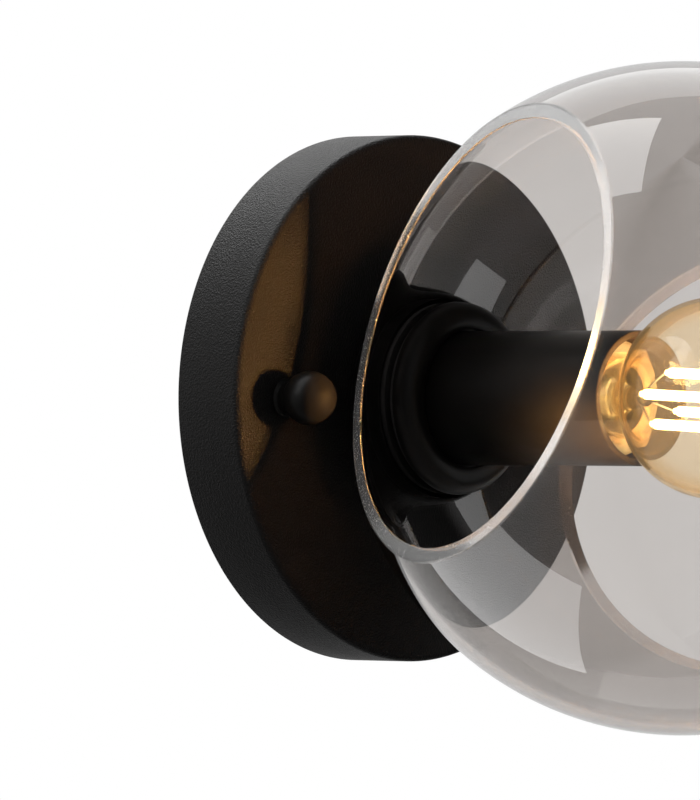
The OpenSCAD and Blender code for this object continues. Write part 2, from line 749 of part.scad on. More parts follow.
// Wires from the stem to each stick, and a bridge across each pair's far ends
module filament_supports() color("#b9bbbd") off_wall() on_cage() {
    top = stick_length + fit_gap + wire_r;
    for (i = [0 : len(stick_angles) - 1]) {
        a = stick_angles[i];
        wire(on_ring(a, wire_root_r, -stick_gap - wire_root), on_ring(a, stick_ring_r, -fit_gap - wire_r));
        if (i % 2 == 0)
            wire(on_ring(a, stick_ring_r, top), on_ring(stick_angles[i + 1], stick_ring_r, top));
    }
}

// Insulating strip with a barrel and two screw towers for each pole, and an ear at each end
module terminal_block() color("#e9e9e4") off_wall() translate([0, -block_y, 0]) difference() {
    half = block_half + block_ear;
    union() {
        translate([-half, block_ear - block_deep / 2, bar_thick])
            cube([2 * half, block_deep - 2 * block_ear, block_base / 2]);
        translate([-block_half, -block_deep / 2, bar_thick]) cube([2 * block_half, block_deep, block_base]);
        for (i = [0 : poles - 1]) translate([(i - (poles - 1) / 2) * pole_pitch, 0, 0]) {
            translate([0, 0, barrel_z]) rotate([90, 0, 0])
                cylinder(r = barrel_r, h = block_deep, center = true);
            for (y = [-tower_y, tower_y]) translate([0, y, bar_thick + block_base / 2])
                cylinder(r = tower_r, h = block_high - block_base / 2);
        }
    }
    for (i = [0 : poles - 1]) translate([(i - (poles - 1) / 2) * pole_pitch, 0, 0]) {
        translate([0, 0, barrel_z]) rotate([90, 0, 0]) bore(insert_r, -block_deep / 2, block_deep / 2);
        for (y = [-tower_y, tower_y]) translate([0, y, barrel_z])
            cylinder(r = clamp_hole_r, h = block_high);
    }
    both(ear_x) bore(ear_screw_r + fit_gap, bar_thick, bar_thick + block_base);
}

module terminal_inserts() color("#c9a54a") off_wall() translate([0, -block_y, 0])
    for (i = [0 : poles - 1]) translate([(i - (poles - 1) / 2) * pole_pitch, 0, barrel_z]) difference() {
        rotate([90, 0, 0]) pipe(insert_r, insert_bore_r, insert_short - block_deep / 2,
                                block_deep / 2 - insert_short);
        for (y = [-tower_y, tower_y]) translate([0, y, 0]) cylinder(r = clamp_hole_r, h = 2 * insert_r);
    }

module terminal_screws() color("#9a9c9e") off_wall() translate([0, -block_y, 0])
    for (i = [0 : poles - 1], y = [-tower_y, tower_y])
        translate([(i - (poles - 1) / 2) * pole_pitch, y, 0]) {
            high = bar_thick + block_high - clamp_sunk;
            difference() {
                translate([0, 0, clamp_low]) cylinder(r = clamp_r, h = high - clamp_low);
                translate([-2 * clamp_r, -clamp_slot / 2, high - clamp_slot_deep])
                    cube([4 * clamp_r, clamp_slot, block_high]);
            }
        }

module block_screws() color("#9a9c9e") off_wall() translate([0, -block_y, 0]) both(ear_x) {
    seat = bar_thick + block_base / 2;
    cylinder(r = ear_screw_r, h = seat);
    translate([0, 0, seat]) cylinder(r = ear_head_r, h = ear_head);
}

module earth_screw() color("#c9a54a") off_wall() translate([earth_x, 0, 0]) difference() {
    seat = bar_thick + tag_thick;
    union() {
        cylinder(r = earth_r, h = seat);
        translate([0, 0, seat]) cylinder(r = earth_head_r, h = earth_head);
    }
    for (turn = [0, 90]) rotate([0, 0, turn])
        translate([-drive_length / 2, -drive_width / 2, seat + earth_head - drive_deep])
            cube([drive_length, drive_width, drive_deep + over]);
}

// Ring tag under the earth screw, with the barrel that grips the lead
module earth_tag() color("#b8babb") off_wall() translate([earth_x, 0, bar_thick]) difference() {
    union() {
        cylinder(r = tag_r, h = tag_thick);
        translate([-tag_barrel_r, -tag_end, 0]) cube([2 * tag_barrel_r, tag_end, tag_thick]);
        translate([0, -tag_r, tag_barrel_r]) rotate([90, 0, 0]) cylinder(r = tag_barrel_r, h = tag_barrel);
    }
    bore(earth_r + fit_gap, 0, tag_thick);
    translate([0, 0, tag_barrel_r]) rotate([90, 0, 0]) bore(lead_r + fit_gap, tag_r, tag_end);
}

module live_lead() color("#6b4a2f") off_wall() lead(live_route);

module neutral_lead() color("#3f6fa8") off_wall() lead(neutral_route);

module earth_lead() color("#6fa83f") off_wall() lead(earth_route);

canopy();
crossbar();
studs();
stud_lock_nuts();
ball_nut_left();
ball_nut_right();
nipple();
nipple_washer();
nipple_nut();
seat_cup();
outer_gasket();
globe();
inner_gasket();
retaining_ring();
socket_tube();
holder_yoke();
yoke_nut();
yoke_rivets();
holder_body();
screw_shell();
centre_contact();
holder_terminals();
bulb_cap();
bulb_insulator();
bulb_tip();
bulb_envelope();
bulb_stem();
filaments();
filament_supports();
terminal_block();
terminal_inserts();
terminal_screws();
block_screws();
earth_screw();
earth_tag();
live_lead();
neutral_lead();
earth_lead();
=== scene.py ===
import math
from types import SimpleNamespace

import bmesh
import bpy
from bpy.props import FloatProperty, FloatVectorProperty, IntProperty, PointerProperty
from mathutils import Matrix, Vector


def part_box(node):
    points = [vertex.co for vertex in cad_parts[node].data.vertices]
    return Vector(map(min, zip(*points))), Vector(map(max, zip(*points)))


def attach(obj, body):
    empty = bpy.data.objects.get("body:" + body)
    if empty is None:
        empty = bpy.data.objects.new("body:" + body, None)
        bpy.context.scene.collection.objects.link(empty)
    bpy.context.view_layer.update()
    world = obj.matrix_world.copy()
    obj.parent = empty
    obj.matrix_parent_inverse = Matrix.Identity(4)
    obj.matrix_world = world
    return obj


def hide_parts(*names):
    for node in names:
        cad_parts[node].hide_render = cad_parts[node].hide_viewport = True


bl_info = {
    "name": "Globe wall sconce",
    "version": (1, 0, 0),
    "blender": (4, 5, 0),
    "location": "View3D > Sidebar > Sconce",
    "description": "Builds a wall sconce with a smoked glass globe round its packed frame",
    "category": "Object",
}

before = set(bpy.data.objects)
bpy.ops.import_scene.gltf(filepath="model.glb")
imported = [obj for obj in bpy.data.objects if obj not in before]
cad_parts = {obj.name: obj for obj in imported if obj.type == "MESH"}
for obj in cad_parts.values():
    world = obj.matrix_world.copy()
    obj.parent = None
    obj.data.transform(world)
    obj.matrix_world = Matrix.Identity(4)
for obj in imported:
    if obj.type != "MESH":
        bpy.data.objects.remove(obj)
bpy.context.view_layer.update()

MM = 0.001
TAU = 2 * math.pi
STICK_TURNS = (69, 171, 248, 332)   # places of the lit sticks round the bulb, in degrees


def reach(node, axis, side):
    """One side of a frame node's box, in metres."""
    return abs(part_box(node)[side][axis])


# ---------------------------------------------------------------- sizes and colours

def size(name, description, default):
    """A length, in metres."""
    return FloatProperty(name=name, description=description, default=default, min=0.0,
                         unit="LENGTH", subtype="DISTANCE", precision=5)


def tilt(name, description, degrees):
    """An angle, given in degrees."""
    return FloatProperty(name=name, description=description, default=math.radians(degrees),
                         unit="ROTATION", subtype="ANGLE")


def colour(name, description, default):
    return FloatVectorProperty(name=name, description=description, default=default, size=3,
                               min=0.0, max=1.0, subtype="COLOR")


class SconceSizes(bpy.types.PropertyGroup):
    """Sizes of the sconce, taken from its frame where the frame has them"""

    canopy_radius: size("Canopy radius", "Radius of the canopy on the wall", reach("canopy", 0, 1))
    canopy_depth: size("Canopy depth", "How far the canopy's face stands off the wall", reach("canopy", 1, 0))
    canopy_wall: size("Canopy sheet", "Thickness of the canopy's pressed sheet", 0.0012)
    canopy_round: size("Canopy edge", "Radius of the canopy's front edge", 0.0016)
    nut_spacing: size("Ball nut place", "Distance of a ball nut from the canopy's middle",
                      (reach("ball_nut_right", 0, 1) + reach("ball_nut_right", 0, 0)) / 2)
    ball_radius: size("Ball nut radius", "Radius of a ball nut's head",
                      (reach("ball_nut_right", 0, 1) - reach("ball_nut_right", 0, 0)) / 2)
    ball_stand: size("Ball nut height", "Height of the ball's middle above the canopy", 0.0076)
    ball_neck: size("Ball nut neck", "Radius of a ball nut's neck", 0.0038)
    globe_radius: size("Globe radius", "Outer radius of the blown globe", reach("globe", 2, 1))
    globe_place: size("Globe place", "Distance of the globe's middle from the wall",
                      reach("globe", 1, 0) - reach("globe", 2, 1))
    glass: size("Glass thickness", "Thickness of the globe's wall", 0.0024)
    opening_place: size("Opening place", "Distance of a ground rim from the globe's middle", 0.05365)
    opening_lean: tilt("Opening lean", "How far the openings lean back to the wall", 17.6)
    globe_turn: tilt("Globe turn", "How far the globe is turned on its seat", 16.5)
    neck_hole: size("Globe hole", "Radius of the hole at the globe's back", 0.0174)
    rim_chamfer: size("Rim chamfer", "Width of the polished edges of a ground rim", 0.0003)
    seat_radius: size("Seat radius", "Radius of the seat's flange", reach("seat_cup", 0, 1))
    ring_radius: size("Ring radius", "Radius of the retaining ring", reach("retaining_ring", 0, 1))
    ring_bead: size("Ring bead", "Radius of the ring's round bead", 0.0045)
    ring_pitch: size("Ring pitch", "Pitch of the thread on the seat's collar", 0.0015)
    tube_radius: size("Tube radius", "Outer radius of the socket tube", reach("socket_tube", 0, 1))
    tube_wall: size("Tube wall", "Thickness of the socket tube", 0.0015)
    tube_mouth: size("Tube mouth", "Distance of the tube's mouth from the wall", reach("socket_tube", 1, 0))
    bulb_radius: size("Bulb radius", "Radius of the round bulb", reach("bulb_envelope", 2, 1))
    bulb_wall: size("Bulb glass", "Thickness of the bulb's glass", 0.0008)
    bulb_front: size("Bulb front", "Distance of the bulb's front from the wall", reach("bulb_envelope", 1, 0))
    cap_radius: size("Cap radius", "Radius of the bulb's screw cap", 0.00695)
    cap_pitch: size("Cap pitch", "Pitch of the bulb's round thread", 0.00282)
    stick_radius: size("Stick radius", "Radius of a glowing stick", 0.0009)
    stick_ring: size("Stick ring", "Distance of the sticks from the cage's axis", 0.0062)
    lead_radius: size("Lead radius", "Radius of a lead's sleeve", 0.001)
    nipple_radius: size("Threaded tube", "Radius of the threaded tube", reach("nipple", 0, 1))
    sides: IntProperty(name="Sides", description="Number of sides of a turned piece", default=160, min=24, max=512)


class SconceColours(bpy.types.PropertyGroup):
    """Colours of the sconce's finishes"""

    powder: colour("Powder coat", "Matte black coat of the canopy", (0.0036, 0.0033, 0.0032))
    lacquer: colour("Satin black", "Satin black of the turned pieces", (0.0032, 0.0029, 0.0027))
    smoke: colour("Smoked glass", "Tint of the globe's glass", (0.58, 0.55, 0.53))
    ground: colour("Ground rim", "Tint of the ground rims", (0.92, 0.91, 0.90))
    bulb: colour("Bulb glass", "Tint of the bulb's glass", (1.0, 0.95, 0.84))
    # this colour is also the colour of the faint painted glow that the bulb glass gives off
    rim: colour("Bulb glass edge", "Tint of the bulb's glass where it is seen along its wall", (1.0, 0.66, 0.24))
    stem: colour("Stem glass", "Tint of the stem in the bulb", (0.97, 0.9, 0.76))
    glow: colour("Glow", "Colour of the lit sticks", (1.0, 0.62, 0.22))
    zinc: colour("Zinc", "Zinc plate of bracket and screws", (0.56, 0.57, 0.58))
    brass: colour("Brass", "Turned and drawn brass", (0.66, 0.47, 0.19))
    tin: colour("Tin", "Tinned copper of the earth tag", (0.66, 0.66, 0.64))
    ceramic: colour("Ceramic", "Glazed ceramic of the lampholder", (0.80, 0.77, 0.70))
    block: colour("Terminal block", "Moulded plastic of the terminal block", (0.76, 0.76, 0.72))
    rubber: colour("Gasket", "Soft rubber of the gaskets", (0.022, 0.022, 0.022))
    live: colour("Live lead", "Sleeve of the live lead", (0.16, 0.062, 0.022))
    neutral: colour("Neutral lead", "Sleeve of the neutral lead", (0.02, 0.10, 0.38))
    earth: colour("Earth lead", "Green of the earth lead's sleeve", (0.06, 0.30, 0.05))
    earth_stripe: colour("Earth stripe", "Yellow of the earth lead's sleeve", (0.85, 0.72, 0.06))
    floor: colour("Floor", "Pale floor below the lamp", (0.70, 0.70, 0.70))


def sizes_in_mm(group):
    """The sizes in millimetres, by name. Angles and counts are as they are."""
    found = {key: getattr(group, key) for key in SconceSizes.__annotations__}
    return SimpleNamespace(**{key: value if key in ("opening_lean", "globe_turn", "sides") else value / MM
                              for key, value in found.items()})


# ---------------------------------------------------------------- places and outlines

def place(x, y, z):
    """Frame point of a place on the lamp: x right, y up and z out of the wall, in millimetres."""
    return Vector((x, -z, y)) * MM


def around(radius, degrees, z):
    """Frame point at a radius and an angle round the lamp's axis."""
    a = math.radians(degrees)
    return place(radius * math.cos(a), radius * math.sin(a), z)


def arc(mid, radius, start, end, steps):
    """Outline points round a middle, from one angle to another in degrees."""
    turns = [math.radians(start + (end - start) * i / steps) for i in range(steps + 1)]
    return [(mid[0] + radius * math.cos(t), mid[1] + radius * math.sin(t)) for t in turns]


def on_sphere(mid, sphere, radius):
    """Outline point on the wall side of a sphere about the globe's middle."""
    return radius, mid - math.sqrt(sphere * sphere - radius * radius)


def softened(corners, steps):
    """Outline from corners (radius, height, rounding), each corner made an arc of its rounding."""
    outline = []
    for i, (r, h, rounding) in enumerate(corners):
        here = Vector((r, h))
        back = Vector(corners[i - 1][:2]) - here
        on = Vector(corners[(i + 1) % len(corners)][:2]) - here
        if rounding <= 0 or back.length < 1e-6 or on.length < 1e-6:
            outline.append((r, h))
            continue
        back.normalize()
        on.normalize()
        half = back.angle(on) / 2
        mid = here + (back + on).normalized() * rounding / math.sin(half)
        first = here + back * rounding / math.tan(half) - mid
        last = here + on * rounding / math.tan(half) - mid
        start = math.atan2(first.y, first.x)
        sweep = (math.atan2(last.y, last.x) - start + math.pi) % TAU - math.pi
        outline += [(mid.x + rounding * math.cos(start + sweep * k / steps),
                     mid.y + rounding * math.sin(start + sweep * k / steps)) for k in range(steps + 1)]
    return outline


def threaded(radius, low, high, pitch, depth, steps=10):
    """Outline points up a threaded wall. The thread runs out over half a turn at both ends."""
    count = max(2, round((high - low) / pitch * steps))
    points = []
    for i in range(count + 1):
        h = low + (high - low) * i / count
        fade = min(1.0, (h - low) / (0.5 * pitch), (high - h) / (0.5 * pitch))
        points.append((radius - depth / 2 * fade, h, depth / 2 * fade))
    return points


def round_loop(radius, sides, x=0.0):
    """Points of a circle on the wall's plane."""
    return [(x + radius * math.cos(TAU * s / sides), radius * math.sin(TAU * s / sides)) for s in range(sides)]


def box_loop(wide, high, x=0.0):
    """Corners of a rectangle on the wall's plane."""
    return [(x - wide / 2, -high / 2), (x + wide / 2, -high / 2), (x + wide / 2, high / 2), (x - wide / 2, high / 2)]


def smooth_line(points, steps):
    """Points of a smooth line through a route, in frame metres."""
    line = []
    last = len(points) - 1
    for i in range(last):
        a, b = Vector(points[max(i - 1, 0)]), Vector(points[i])
        c, d = Vector(points[i + 1]), Vector(points[min(i + 2, last)])
        for k in range(steps):
            t = k / steps
            line.append((2 * b + (c - a) * t + (2 * a - 5 * b + 4 * c - d) * t * t
                         + (3 * b - a - 3 * c + d) * t ** 3) / 2)
    line.append(Vector(points[last]))
    return [place(*p) for p in line]


# ---------------------------------------------------------------- meshes: each adds to one, or starts one

def bands(bm, rings, closed=False):
    """Faces between each ring of points and the next. A ring of one point is a pole on the axis."""
    faces = []
    for lower, upper in zip(rings, rings[1:] + rings[:1] if closed else rings[1:]):
        count = max(len(lower), len(upper))
        for s in range(count if count > 1 else 0):
            t = (s + 1) % count
            if len(lower) == 1:
                loop = (lower[0], upper[s], upper[t])
            elif len(upper) == 1:
                loop = (lower[s], lower[t], upper[0])
            else:
                loop = (lower[s], lower[t], upper[t], upper[s])
            faces.append(bm.faces.new(loop))
    return faces


def turned(outline, sides, middle=0.0, pitch=None, bm=None):
    """A turned solid: a closed outline of (radius, height, thread) swept round an axis out of the wall."""
    bm = bmesh.new() if bm is None else bm
    rings = []
    for i, point in enumerate(outline):
        if math.dist(point[:2], outline[i - 1][:2]) < 1e-4:
            continue
        r, h, wave = (*point, 0.0)[:3]
        ring = []
        for s in range(sides if r >= 1e-6 else 0):
            a = TAU * s / sides
            rr = r + (wave * math.cos(TAU * (h / pitch - s / sides)) if wave else 0.0)
            ring.append(bm.verts.new(place(middle + rr * math.cos(a), rr * math.sin(a), h)))
        rings.append(ring or [bm.verts.new(place(middle, 0.0, h))])
    bmesh.ops.recalc_face_normals(bm, faces=bands(bm, rings, closed=True))
    return bm


def prism(loop, low, high):
    """A straight solid over a loop of (x, y) points."""
    bm = bmesh.new()
    rings = [[bm.verts.new(place(x, y, z)) for x, y in loop] for z in (low, high)]
    faces = [bm.faces.new(ring) for ring in rings]
    bmesh.ops.recalc_face_normals(bm, faces=faces + bands(bm, rings))
    return bm


def swept(line, radius, sides, bm=None):
    """A round tube along a line of frame points, with its cross-section carried along it."""
    bm = bmesh.new() if bm is None else bm
    across = None
    rings = []
    for i, point in enumerate(line):
        heading = (line[min(i + 1, len(line) - 1)] - line[max(i - 1, 0)]).normalized()
        if across is None:
            across = heading.orthogonal().normalized()
        across = (across - heading * across.dot(heading)).normalized()
        other = heading.cross(across)
        rings.append([bm.verts.new(point + (across * math.cos(TAU * s / sides)
                                            + other * math.sin(TAU * s / sides)) * (radius * MM))
                      for s in range(sides)])
    faces = [bm.faces.new(list(reversed(rings[0]))), bm.faces.new(rings[-1])]
    bmesh.ops.recalc_face_normals(bm, faces=faces + bands(bm, rings))
    return bm


def hex_nut(across, low, thick, bore, x=0.0, chamfer=0.6, bm=None):
    """A hexagonal nut whose corners are turned off at both faces and whose bore is countersunk."""
    bm = bmesh.new() if bm is None else bm
    steps = 72
    sink = 0.35
    corner = across / 2 / math.cos(math.pi / 6)
    turns = [TAU * s / steps for s in range(steps)]
    rows = []
    for face, limit in ((0, corner - chamfer), (0, corner), (1, corner), (1, corner - chamfer)):
        row = []
        for a in turns:
            flat = across / 2 / math.cos((a + math.pi / 6) % (math.pi / 3) - math.pi / 6)
            r = min(flat, limit)
            # the chamfer is deepest at the corners
            dip = max(0.0, r - (corner - chamfer)) * 0.5 if limit == corner else 0.0
            row.append((r * math.cos(a), r * math.sin(a), low + thick - dip if face else low + dip))
        rows.append(row)
    for h, r in ((thick, bore + sink), (thick - sink, bore), (sink, bore), (0.0, bore + sink)):
        rows.append([(r * math.cos(a), r * math.sin(a), low + h) for a in turns])
    rings = [[bm.verts.new(place(x + px, py, pz)) for px, py, pz in row] for row in rows]
    bmesh.ops.recalc_face_normals(bm, faces=bands(bm, rings, closed=True))
    return bm


# ---------------------------------------------------------------- pieces

def finish(slot):
    return bpy.data.materials[slot]


def shaded(mesh, angle=35.0):
    """Smooth shading but for the edges sharper than an angle."""
    mesh.shade_smooth()
    mesh.set_sharp_from_angle(angle=math.radians(angle))


def in_scene(name, data):
    """An object of a mesh, lamp or camera, put in the scene."""
    obj = bpy.data.objects.new(name, data)
    bpy.context.scene.collection.objects.link(obj)
    return obj


def mesh_of(name, bm, slots=(), angle=35.0):
    mesh = bpy.data.meshes.new(name)
    bm.to_mesh(mesh)
    bm.free()
    for slot in slots:
        mesh.materials.append(finish(slot))
    shaded(mesh, angle)
    return mesh


def as_object(name, bm, *slots, angle=35.0):
    """The mesh as an object at the origin."""
    return in_scene(name, mesh_of(name, bm, slots, angle))


def hidden_piece(name, bm):
    """A mesh object that a node tree instances, kept out of the scene."""
    return bpy.data.objects.new(name, mesh_of(name, bm))


def lit_only(name):
    """Collection of the pieces that a lamp of their own lights."""
    return bpy.data.collections.get(name) or bpy.data.collections.new(name)


def settle(obj, body, slot, node):
    """Sets a piece on its body and hides the frame node that it stands for. Black and smoked glass pieces go in the
    collections that their own lamps light.
    """
    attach(obj, body)
    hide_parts(node)
    if slot in ("black_powder", "black_satin"):
        lit_only("black_pieces").objects.link(obj)
    elif slot == "smoked_glass":
        lit_only("glass_pieces").objects.link(obj)


def piece(name, bm, body, slot, node, angle=30.0):
    """Puts a mesh in the scene as a piece, with its body, slot and frame node."""
    settle(as_object(name, bm, slot, angle=angle), body, slot, node)


def baked(obj, name, slot):
    """Turns an object's live modifiers into a plain mesh in a new object, and removes the old one."""
    bpy.context.view_layer.update()
    depsgraph = bpy.context.evaluated_depsgraph_get()
    mesh = bpy.data.meshes.new_from_object(obj.evaluated_get(depsgraph), depsgraph=depsgraph)
    mesh.name = name
    if not mesh.materials:
        mesh.materials.append(finish(slot))
    bpy.data.objects.remove(obj)
    return in_scene(name, mesh)


def cut(obj, name, slot, cutters):
    """Cuts solids out of a piece and gives it back as a plain mesh."""
    tools = []
    for i, bm in enumerate(cutters):
        tools.append(as_object(f"{name}_tool_{i}", bm, slot))
        step = obj.modifiers.new(f"hole_{i}", "BOOLEAN")
        step.operation = "DIFFERENCE"
        step.solver = "EXACT"
        step.object = tools[-1]
    plain = baked(obj, name, slot)
    for tool in tools:
        bpy.data.objects.remove(tool)
    shaded(plain.data)
    return plain


def from_frame(node, name, slot, bevel=0.0):
    """A merged and smoothly shaded copy of a frame node on the base, for pieces whose shape is already right."""
    bm = bmesh.new()
    bm.from_mesh(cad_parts[node].data)
    bmesh.ops.remove_doubles(bm, verts=bm.verts[:], dist=2e-6)
    bmesh.ops.dissolve_degenerate(bm, dist=1e-6, edges=bm.edges[:])
    obj = as_object(name, bm, slot, angle=28.0)
    if bevel:
        step = obj.modifiers.new("edges", "BEVEL")
        step.width = bevel * MM
        step.segments = 2
        step.limit_method = "ANGLE"
        step.angle_limit = math.radians(40)
        step.harden_normals = True
        obj = baked(obj, name, slot)
    settle(obj, "base", slot, node)


# ---------------------------------------------------------------- node trees

class Nodes:
    """A node tree being built. A socket takes a number, a colour or the output of another node."""

    def __init__(self, tree):
        self.tree = tree

    def feed(self, socket, value):
        if isinstance(value, bpy.types.NodeSocket):
            self.tree.links.new(value, socket)
        else:
            socket.default_value = value

    def node(self, kind, sockets=None, **settings):
        made = self.tree.nodes.new(kind)
        for key, value in settings.items():
            setattr(made, key, value)
        for key, value in (sockets or {}).items():
            self.feed(made.inputs[key], value)
        return made

    def math(self, operation, a, b=0.0):
        return self.node("ShaderNodeMath", {0: a, 1: b}, operation=operation).outputs[0]

    def spread(self, value, **limits):
        """A value moved from one span to another, with limits such as To_Min."""
        sockets = {key.replace("_", " "): limit for key, limit in limits.items()}
        return self.node("ShaderNodeMapRange", {"Value": value, **sockets}).outputs["Result"]

    def vector(self, x=0.0, y=0.0, z=0.0):
        return self.node("ShaderNodeCombineXYZ", {"X": x, "Y": y, "Z": z}).outputs[0]

    def ramp(self, fac, *stops):
        """A colour ramp. Each stop is (position, colour)."""
        made = self.node("ShaderNodeValToRGB", {"Fac": fac})
        elements = made.color_ramp.elements
        elements[0].position, elements[1].position = stops[0][0], stops[-1][0]
        for position, _ in stops[1:-1]:
            elements.new(position)
        for element, (_, rgb) in zip(elements, stops):
            element.color = (*rgb, 1.0)
        return made.outputs["Color"]

    def mixed(self, factor, first, second):
        """The second shader by a factor over the first."""
        return self.node("ShaderNodeMixShader", {0: factor, 1: first, 2: second}).outputs[0]


class Finish(Nodes):
    """A material being built, with its textures on Object coordinates."""

    def __init__(self, name):
        self.material = bpy.data.materials.get(name) or bpy.data.materials.new(name)
        self.material.use_nodes = True
        super().__init__(self.material.node_tree)
        self.tree.nodes.clear()
        self.output = self.node("ShaderNodeOutputMaterial")
        self.shader = self.node("ShaderNodeBsdfPrincipled")
        self.surface(self.shader.outputs[0])
        self.coordinates = self.node("ShaderNodeTexCoord").outputs["Object"]

    def surface(self, shader):
        self.feed(self.output.inputs["Surface"], shader)

    def set(self, **values):
        """Feeds the shader's sockets, with underscores for the spaces in their names."""
        for key, value in values.items():
            self.feed(self.shader.inputs[key.replace("_", " ")], value)

    def noise(self, scale, detail=3.0, roughness=0.55, vector=None):
        return self.node("ShaderNodeTexNoise", {"Vector": vector or self.coordinates, "Scale": scale,
                                                "Detail": detail, "Roughness": roughness}).outputs["Fac"]

    def grains(self, scale):
        return self.node("ShaderNodeTexVoronoi", {"Vector": self.coordinates, "Scale": scale}).outputs["Distance"]

    def rings(self, scale, distortion):
        """Fine rings round the lamp's axis, as a lathe tool leaves them."""
        return self.node("ShaderNodeTexWave", {"Vector": self.coordinates, "Scale": scale, "Distortion": distortion},
                         wave_type="RINGS", rings_direction="Y", wave_profile="SIN").outputs["Fac"]

    def blend(self, *parts):
        """The sum of patterns, each given with its share."""
        shares = [self.math("MULTIPLY", pattern, share) for pattern, share in parts]
        return self.math("ADD", *shares)

    def paint(self, base, stray, fac):
        """Base colour that strays by a share of itself along a pattern."""
        low = tuple(c * (1 - stray) for c in base)
        high = tuple(min(1.0, c * (1 + stray)) for c in base)
        self.set(Base_Color=self.ramp(fac, (0.3, low), (0.7, high)))

    def rough(self, fac, low, high):
        self.set(Roughness=self.spread(fac, To_Min=low, To_Max=high))

    def bump(self, height, distance, strength):
        self.set(Normal=self.node("ShaderNodeBump", {"Height": height, "Distance": distance,
                                                     "Strength": strength}).outputs["Normal"])


class Repeats(Nodes):
    """A Geometry Nodes tree with named inputs that sets copies of a piece on points."""

    KINDS = {bpy.types.Object: "NodeSocketObject", int: "NodeSocketInt", float: "NodeSocketFloat"}

    def __init__(self, name, **inputs):
        super().__init__(bpy.data.node_groups.new(name, "GeometryNodeTree"))
        self.name = name
        self.values = {}
        for way in ("INPUT", "OUTPUT"):
            self.tree.interface.new_socket(name="Geometry", in_out=way, socket_type="NodeSocketGeometry")
        for label, value in inputs.items():
            socket = self.tree.interface.new_socket(name=label, in_out="INPUT", socket_type=self.KINDS[type(value)])
            self.values[socket.identifier] = value
        self.given = self.node("NodeGroupInput").outputs

    def points(self, count, x, y, z):
        """As many points as the count, each at its place."""
        line = self.node("GeometryNodeMeshLine", {"Offset": (0, 0, 0), "Count": count}, mode="OFFSET")
        return self.node("GeometryNodeSetPosition", {"Geometry": line.outputs[0],
                                                     "Position": self.vector(x, y, z)}).outputs[0]

    def baked(self, points, turn, slot, mesh=None, angle=35.0):
        """Sets the copies on their points, runs the tree on a mesh and gives back the plain object."""
        info = self.node("GeometryNodeObjectInfo", {"Object": self.given["Piece"]})
        euler = self.node("FunctionNodeEulerToRotation", {0: turn})
        copies = self.node("GeometryNodeInstanceOnPoints", {
            "Points": points, "Instance": info.outputs["Geometry"], "Rotation": euler.outputs[0]})
        real = self.node("GeometryNodeRealizeInstances", {0: copies.outputs[0]})
        coat = self.node("GeometryNodeSetMaterial", {"Geometry": real.outputs[0], "Material": finish(slot)})
        self.node("NodeGroupOutput", {0: coat.outputs[0]})
        obj = in_scene(self.name + "_tree", mesh or bpy.data.meshes.new(self.name + "_tree"))
        step = obj.modifiers.new("repeats", "NODES")
        step.node_group = self.tree
        for key, value in self.values.items():
            step[key] = value
        plain = baked(obj, self.name, slot)
        shaded(plain.data, angle)
        return plain


def ring_of(name, piece, slot, count, radius, height):
    """Copies of a piece round the lamp's axis, each turned to face out."""
    tree = Repeats(name, Piece=piece, Count=count, Radius=radius * MM, Height=height * MM)
    share = tree.math("DIVIDE", tree.node("GeometryNodeInputIndex").outputs[0], tree.given["Count"])
    angle = tree.math("MULTIPLY", share, TAU)
    points = tree.points(tree.given["Count"],
                         tree.math("MULTIPLY", tree.math("COSINE", angle), tree.given["Radius"]),
                         tree.math("MULTIPLY", tree.given["Height"], -1.0),
                         tree.math("MULTIPLY", tree.math("SINE", angle), tree.given["Radius"]))
    return tree.baked(points, tree.vector(y=tree.math("MULTIPLY", angle, -1.0)), slot)


def grid_of(name, piece, slot, columns, rows, pitch, gap, up, height):
    """Copies of a piece in a grid on the wall's plane."""
    tree = Repeats(name, Piece=piece, Columns=columns, Rows=rows, Pitch=pitch * MM, Gap=gap * MM, Up=up * MM,
                   Height=height * MM)
    given = tree.given
    index = tree.node("GeometryNodeInputIndex").outputs[0]

    def spaced(step, count, pitch_socket):
        half = tree.math("MULTIPLY", tree.math("SUBTRACT", count, 1.0), 0.5)
        return tree.math("MULTIPLY", tree.math("SUBTRACT", step, half), pitch_socket)

    column = tree.math("MODULO", index, given["Columns"])
    row = tree.math("FLOOR", tree.math("DIVIDE", index, given["Columns"]))
    points = tree.points(tree.math("MULTIPLY", given["Columns"], given["Rows"]),
                         spaced(column, given["Columns"], given["Pitch"]),
                         tree.math("MULTIPLY", given["Height"], -1.0),
                         tree.math("ADD", spaced(row, given["Rows"], given["Gap"]), given["Up"]))
    return tree.baked(points, (0, 0, 0), slot)


# ---------------------------------------------------------------- finishes

def powder_coat(name, base):
    """Matte black coat with a fine sandy grain."""
    f = Finish(name)
    grain = f.noise(2000.0, 2.0, 0.6)
    cloud = f.noise(40.0, 4.0)
    f.paint(base, 0.5, f.blend((grain, 0.7), (cloud, 0.3)))
    f.rough(cloud, 0.40, 0.48)
    f.set(Specular_IOR_Level=0.13)
    f.bump(f.blend((grain, 1.0), (f.grains(2200.0), 0.5)), 0.00030, 0.9)


def satin_black(name, base):
    """Satin black lacquer on turned metal, with faint rings from the lathe."""
    f = Finish(name)
    fine = f.noise(2600.0, 2.0)
    cloud = f.noise(70.0, 4.0)
    f.paint(base, 0.25, cloud)
    f.rough(f.blend((fine, 0.5), (cloud, 0.5)), 0.26, 0.42)
    f.set(Specular_IOR_Level=0.10)
    f.bump(f.blend((f.rings(900.0, 0.4), 0.25), (fine, 1.0)), 0.00004, 0.5)


